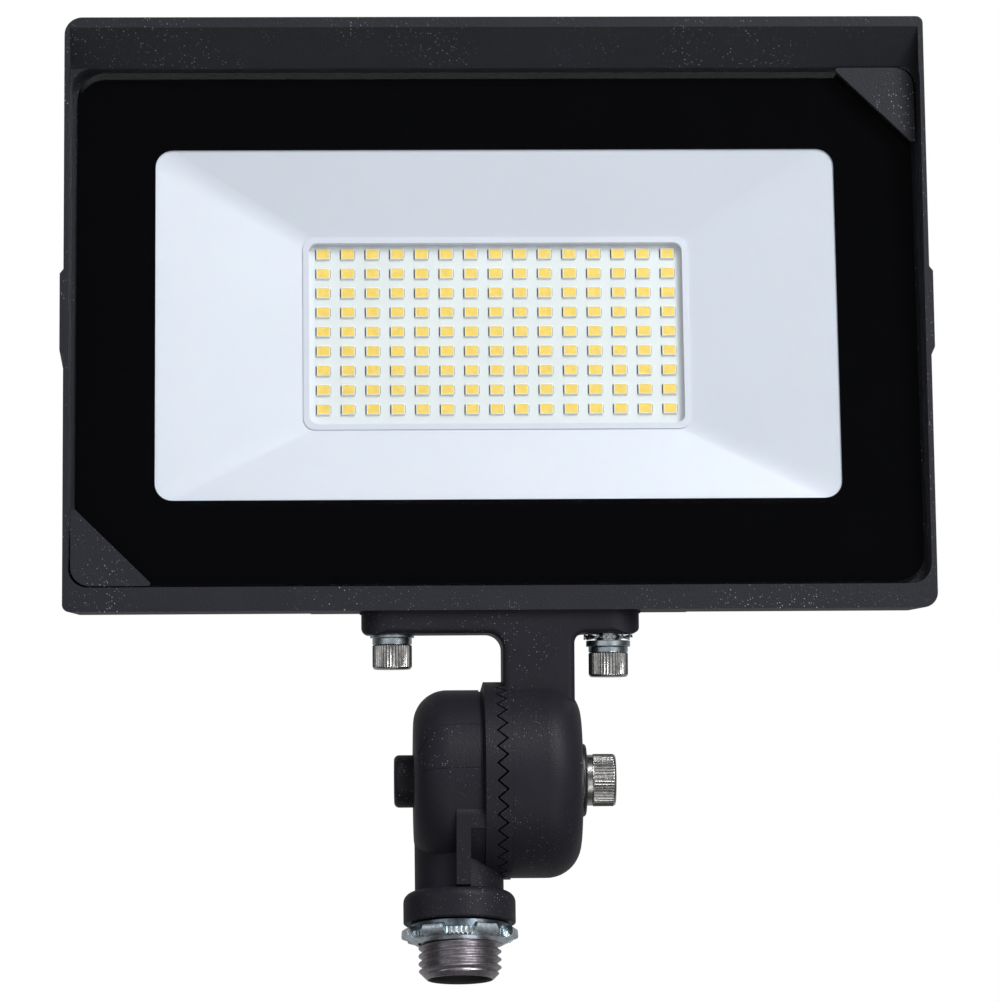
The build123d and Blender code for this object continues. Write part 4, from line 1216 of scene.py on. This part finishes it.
@dataclass(frozen=True)
class LedField:
    """Fifteen columns and nine rows of LED packages, with their solder and painted shadow beside them.
    """

    columns: int = 15
    rows: int = 9
    pitch_x: float = 6.345
    pitch_z: float = 5.163
    centre_z: float = 75.73
    board: float = 12.8          # depth of the board's face
    thick: float = 0.7
    width: float = 3.5
    height: float = 2.8
    window_width: float = 3.1
    window_height: float = 2.5
    window_sunk: float = 0.06
    chamfer: float = 0.12

    def build(self, places: Places) -> None:
        """Build the packages and their solder with painted shadow.

        Args:
            places: The frames.
        """
        packages = bmesh.new()
        solder = bmesh.new()
        for column in range(self.columns):
            for row in range(self.rows):
                x = (column - (self.columns - 1) / 2) * self.pitch_x
                z = self.centre_z + (row - (self.rows - 1) / 2) * self.pitch_z
                place = places.head @ Matrix.Translation((x, self.board, z))
                self.package(packages, place)
                # Dark strips in solder: solder with painted shadow, a wider strip on the left of each
                # package
                box(solder, (-2.04, -0.05, -1.18), (-1.80, -0.005, 1.18), place)
                box(solder, (1.76, -0.05, -1.1), (1.89, -0.005, 1.1), place)
        make("led_packages", packages, [PACKAGE, YELLOW], "head", ["leds"], sharp=20)
        make("led_solder_and_shadow", solder, SOLDER_AND_SHADOW, "head")

    def package(self, bm: bmesh.types.BMesh, place: Matrix) -> None:
        """Add one package: a white body with a yellow window sunk in it.

        Args:
            bm: The mesh that gets the package.
            place: The package's place on the board.
        """
        face = -self.thick
        rings = [(self.width, self.height, 0.0), (self.width, self.height, face + self.chamfer),
                 (self.width - 2 * self.chamfer, self.height - 2 * self.chamfer, face),
                 (self.window_width, self.window_height, face),
                 (self.window_width - self.chamfer, self.window_height - self.chamfer,
                  face + self.window_sunk)]
        loops = []
        for wide, tall, y in rings:
            x, z = wide / 2, tall / 2
            loops.append([bm.verts.new(place @ Vector(p))
                          for p in ((-x, y, -z), (x, y, -z), (x, y, z), (-x, y, z))])
        bm.faces.new(loops[0])
        for low, high in zip(loops, loops[1:]):
            for n in range(4):
                m = (n + 1) % 4
                bm.faces.new((low[n], low[m], high[m], high[n]))
        bm.faces.new(loops[-1]).material_index = 1


# Light and camera

@dataclass(frozen=True)
class Lamp:
    """Soft box that points at the middle of the object."""

    name: str
    azimuth: float               # degrees from the viewer's side, positive to the right
    elevation: float
    distance: float
    size: float
    power: float
    tint: str = "FFFFFF"

    def build(self, target: Vector) -> None:
        """Build the lamp.

        Args:
            target: The point that it faces, in metres.
        """
        data = bpy.data.lights.new(self.name, "AREA")
        data.shape = "DISK"
        data.size = self.size
        data.energy = self.power
        data.color = linear(self.tint)[:3]
        lamp = bpy.data.objects.new(self.name, data)
        bpy.context.scene.collection.objects.link(lamp)
        side, up = radians(self.azimuth), radians(self.elevation)
        away = Vector((sin(side) * cos(up), -cos(side) * cos(up), sin(up)))
        lamp.location = target + away * self.distance
        lamp.rotation_euler = away.to_track_quat("Z", "Y").to_euler()


@dataclass(frozen=True)
class Camera:
    """Camera that took the photograph, as fitted to the sizes of the parts."""

    focal: float = 183.5         # millimetres on a sensor 36 mm wide
    sensor: float = 36.0
    place: tuple[float, float, float] = (-33.27, -1270.6, -196.4)
    pitch: float = 13.528
    yaw: float = 2.020
    roll: float = -0.7505
    shift_y: float = 0.0005      # the picture's middle is half a pixel low

    def build(self) -> None:
        """Build the camera and look through it."""
        data = bpy.data.cameras.new("camera")
        data.lens = self.focal
        data.sensor_width = self.sensor
        data.sensor_fit = "HORIZONTAL"
        data.clip_end = 20.0
        camera = bpy.data.objects.new("camera", data)
        bpy.context.scene.collection.objects.link(camera)
        pitch, yaw, roll = radians(self.pitch), radians(self.yaw), radians(self.roll)
        ahead = Vector((sin(yaw) * cos(pitch), cos(yaw) * cos(pitch), sin(pitch)))
        level = Vector((cos(yaw), -sin(yaw), 0.0))
        upright = level.cross(ahead)
        right = cos(roll) * level + sin(roll) * upright
        up = -sin(roll) * level + cos(roll) * upright
        turn = Matrix((right, up, -ahead)).transposed().to_4x4()
        camera.matrix_world = Matrix.Translation(Vector(self.place) * MM) @ turn
        bpy.context.scene.camera = camera


@dataclass(frozen=True)
class Studio:
    """White studio: white behind the object, soft light, and a dark patch that the glass mirrors."""

    soft: float = 0.42           # soft light from all sides
    behind: float = 0.28         # brightness that gloss shows behind the object
    side: float = 0.06           # brightness that gloss shows beside the object
    front: float = 0.56          # brightness that gloss shows in front of the object
    mirror: tuple[float, float, float] = (0.03, -0.97, 0.23)
    lamps: tuple[Lamp, ...] = (
        Lamp("key", 28, 36, 1.5, 0.7, 13.5),
        Lamp("fill", -50, 10, 1.6, 0.6, 1.2, "F2F6FF"),
        Lamp("low", 25, -45, 1.5, 0.6, 2.7),
        Lamp("strip", 36, 13, 1.5, 0.4, 5.0),
    )

    def build(self) -> None:
        """Build the world and the lamps."""
        low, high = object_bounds()
        for lamp in self.lamps:
            lamp.build((low + high) / 2)
        world = bpy.data.worlds.new("white studio")
        world.use_nodes = True
        tree = world.node_tree
        tree.nodes.clear()
        path = add(tree, "ShaderNodeLightPath")
        shiny = add(tree, "ShaderNodeMath", {0: path.outputs["Is Glossy Ray"],
                                             1: path.outputs["Is Transmission Ray"]},
                    operation="MAXIMUM").outputs[0]
        level = add(tree, "ShaderNodeMix", {0: shiny, 2: self.soft, 3: self.gloss(tree)},
                    data_type="FLOAT").outputs[0]
        strength = add(tree, "ShaderNodeMix", {0: path.outputs["Is Camera Ray"], 2: level, 3: 1.0},
                       data_type="FLOAT")
        background = add(tree, "ShaderNodeBackground", {"Color": (1.0, 1.0, 1.0, 1.0),
                                                        "Strength": strength.outputs[0]})
        add(tree, "ShaderNodeOutputWorld", {"Surface": background.outputs[0]})
        bpy.context.scene.world = world
        bpy.context.scene.view_settings.view_transform = "Standard"

    def gloss(self, tree: bpy.types.NodeTree) -> bpy.types.NodeSocket:
        """Brightness that shiny surfaces mirror, by direction.

        Args:
            tree: The world's node tree.

        Returns:
            The brightness's output socket.
        """
        way = add(tree, "ShaderNodeTexCoord").outputs["Generated"]
        depth = add(tree, "ShaderNodeSeparateXYZ", {0: way}).outputs["Y"]
        near = add(tree, "ShaderNodeMapRange", {"Value": depth, "From Min": -0.85, "From Max": -0.3,
                                                "To Min": self.front, "To Max": self.side})
        far = add(tree, "ShaderNodeMapRange", {"Value": depth, "From Min": 0.2, "From Max": 0.8,
                                               "To Min": 0.0, "To Max": self.behind})
        sides = add(tree, "ShaderNodeMath", {0: near.outputs[0], 1: far.outputs[0]}, operation="ADD")
        toward = add(tree, "ShaderNodeVectorMath", {0: way, 1: Vector(self.mirror).normalized()},
                     operation="DOT_PRODUCT").outputs["Value"]
        dark = add(tree, "ShaderNodeMapRange", {"Value": toward, "From Min": cos(radians(24)),
                                                "From Max": cos(radians(13)), "To Min": 1.0,
                                                "To Max": 0.03})
        return add(tree, "ShaderNodeMath", {0: sides.outputs[0], 1: dark.outputs[0]},
                   operation="MULTIPLY").outputs[0]


def dress_nodes(frame: dict[str, Any]) -> None:
    """Give each CAD node that stays its finish.
    """
    for name, finish in CAD_FINISHES.items():
        node = frame["nodes"][name]
        for slot in node.material_slots:
            slot.material = finish.material()
        LOG.info("%s: %s", name, finish.name)


def main() -> None:
    """Build the scene, assembly by assembly."""
    logging.basicConfig(level=logging.INFO, format="%(name)s %(message)s")
    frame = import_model()
    places = Places.read(frame)
    Camera().build()
    dress_nodes(frame)
    Teeth().build(places)
    DrumSeams().build(places)
    Nipple().build()
    Locknut().build()
    FlangeStacks().build(places)
    PivotBolt().build(places)
    Border().build(places)
    LedField().build(places)
    Studio().build()


if __name__ == "__main__":
    main()
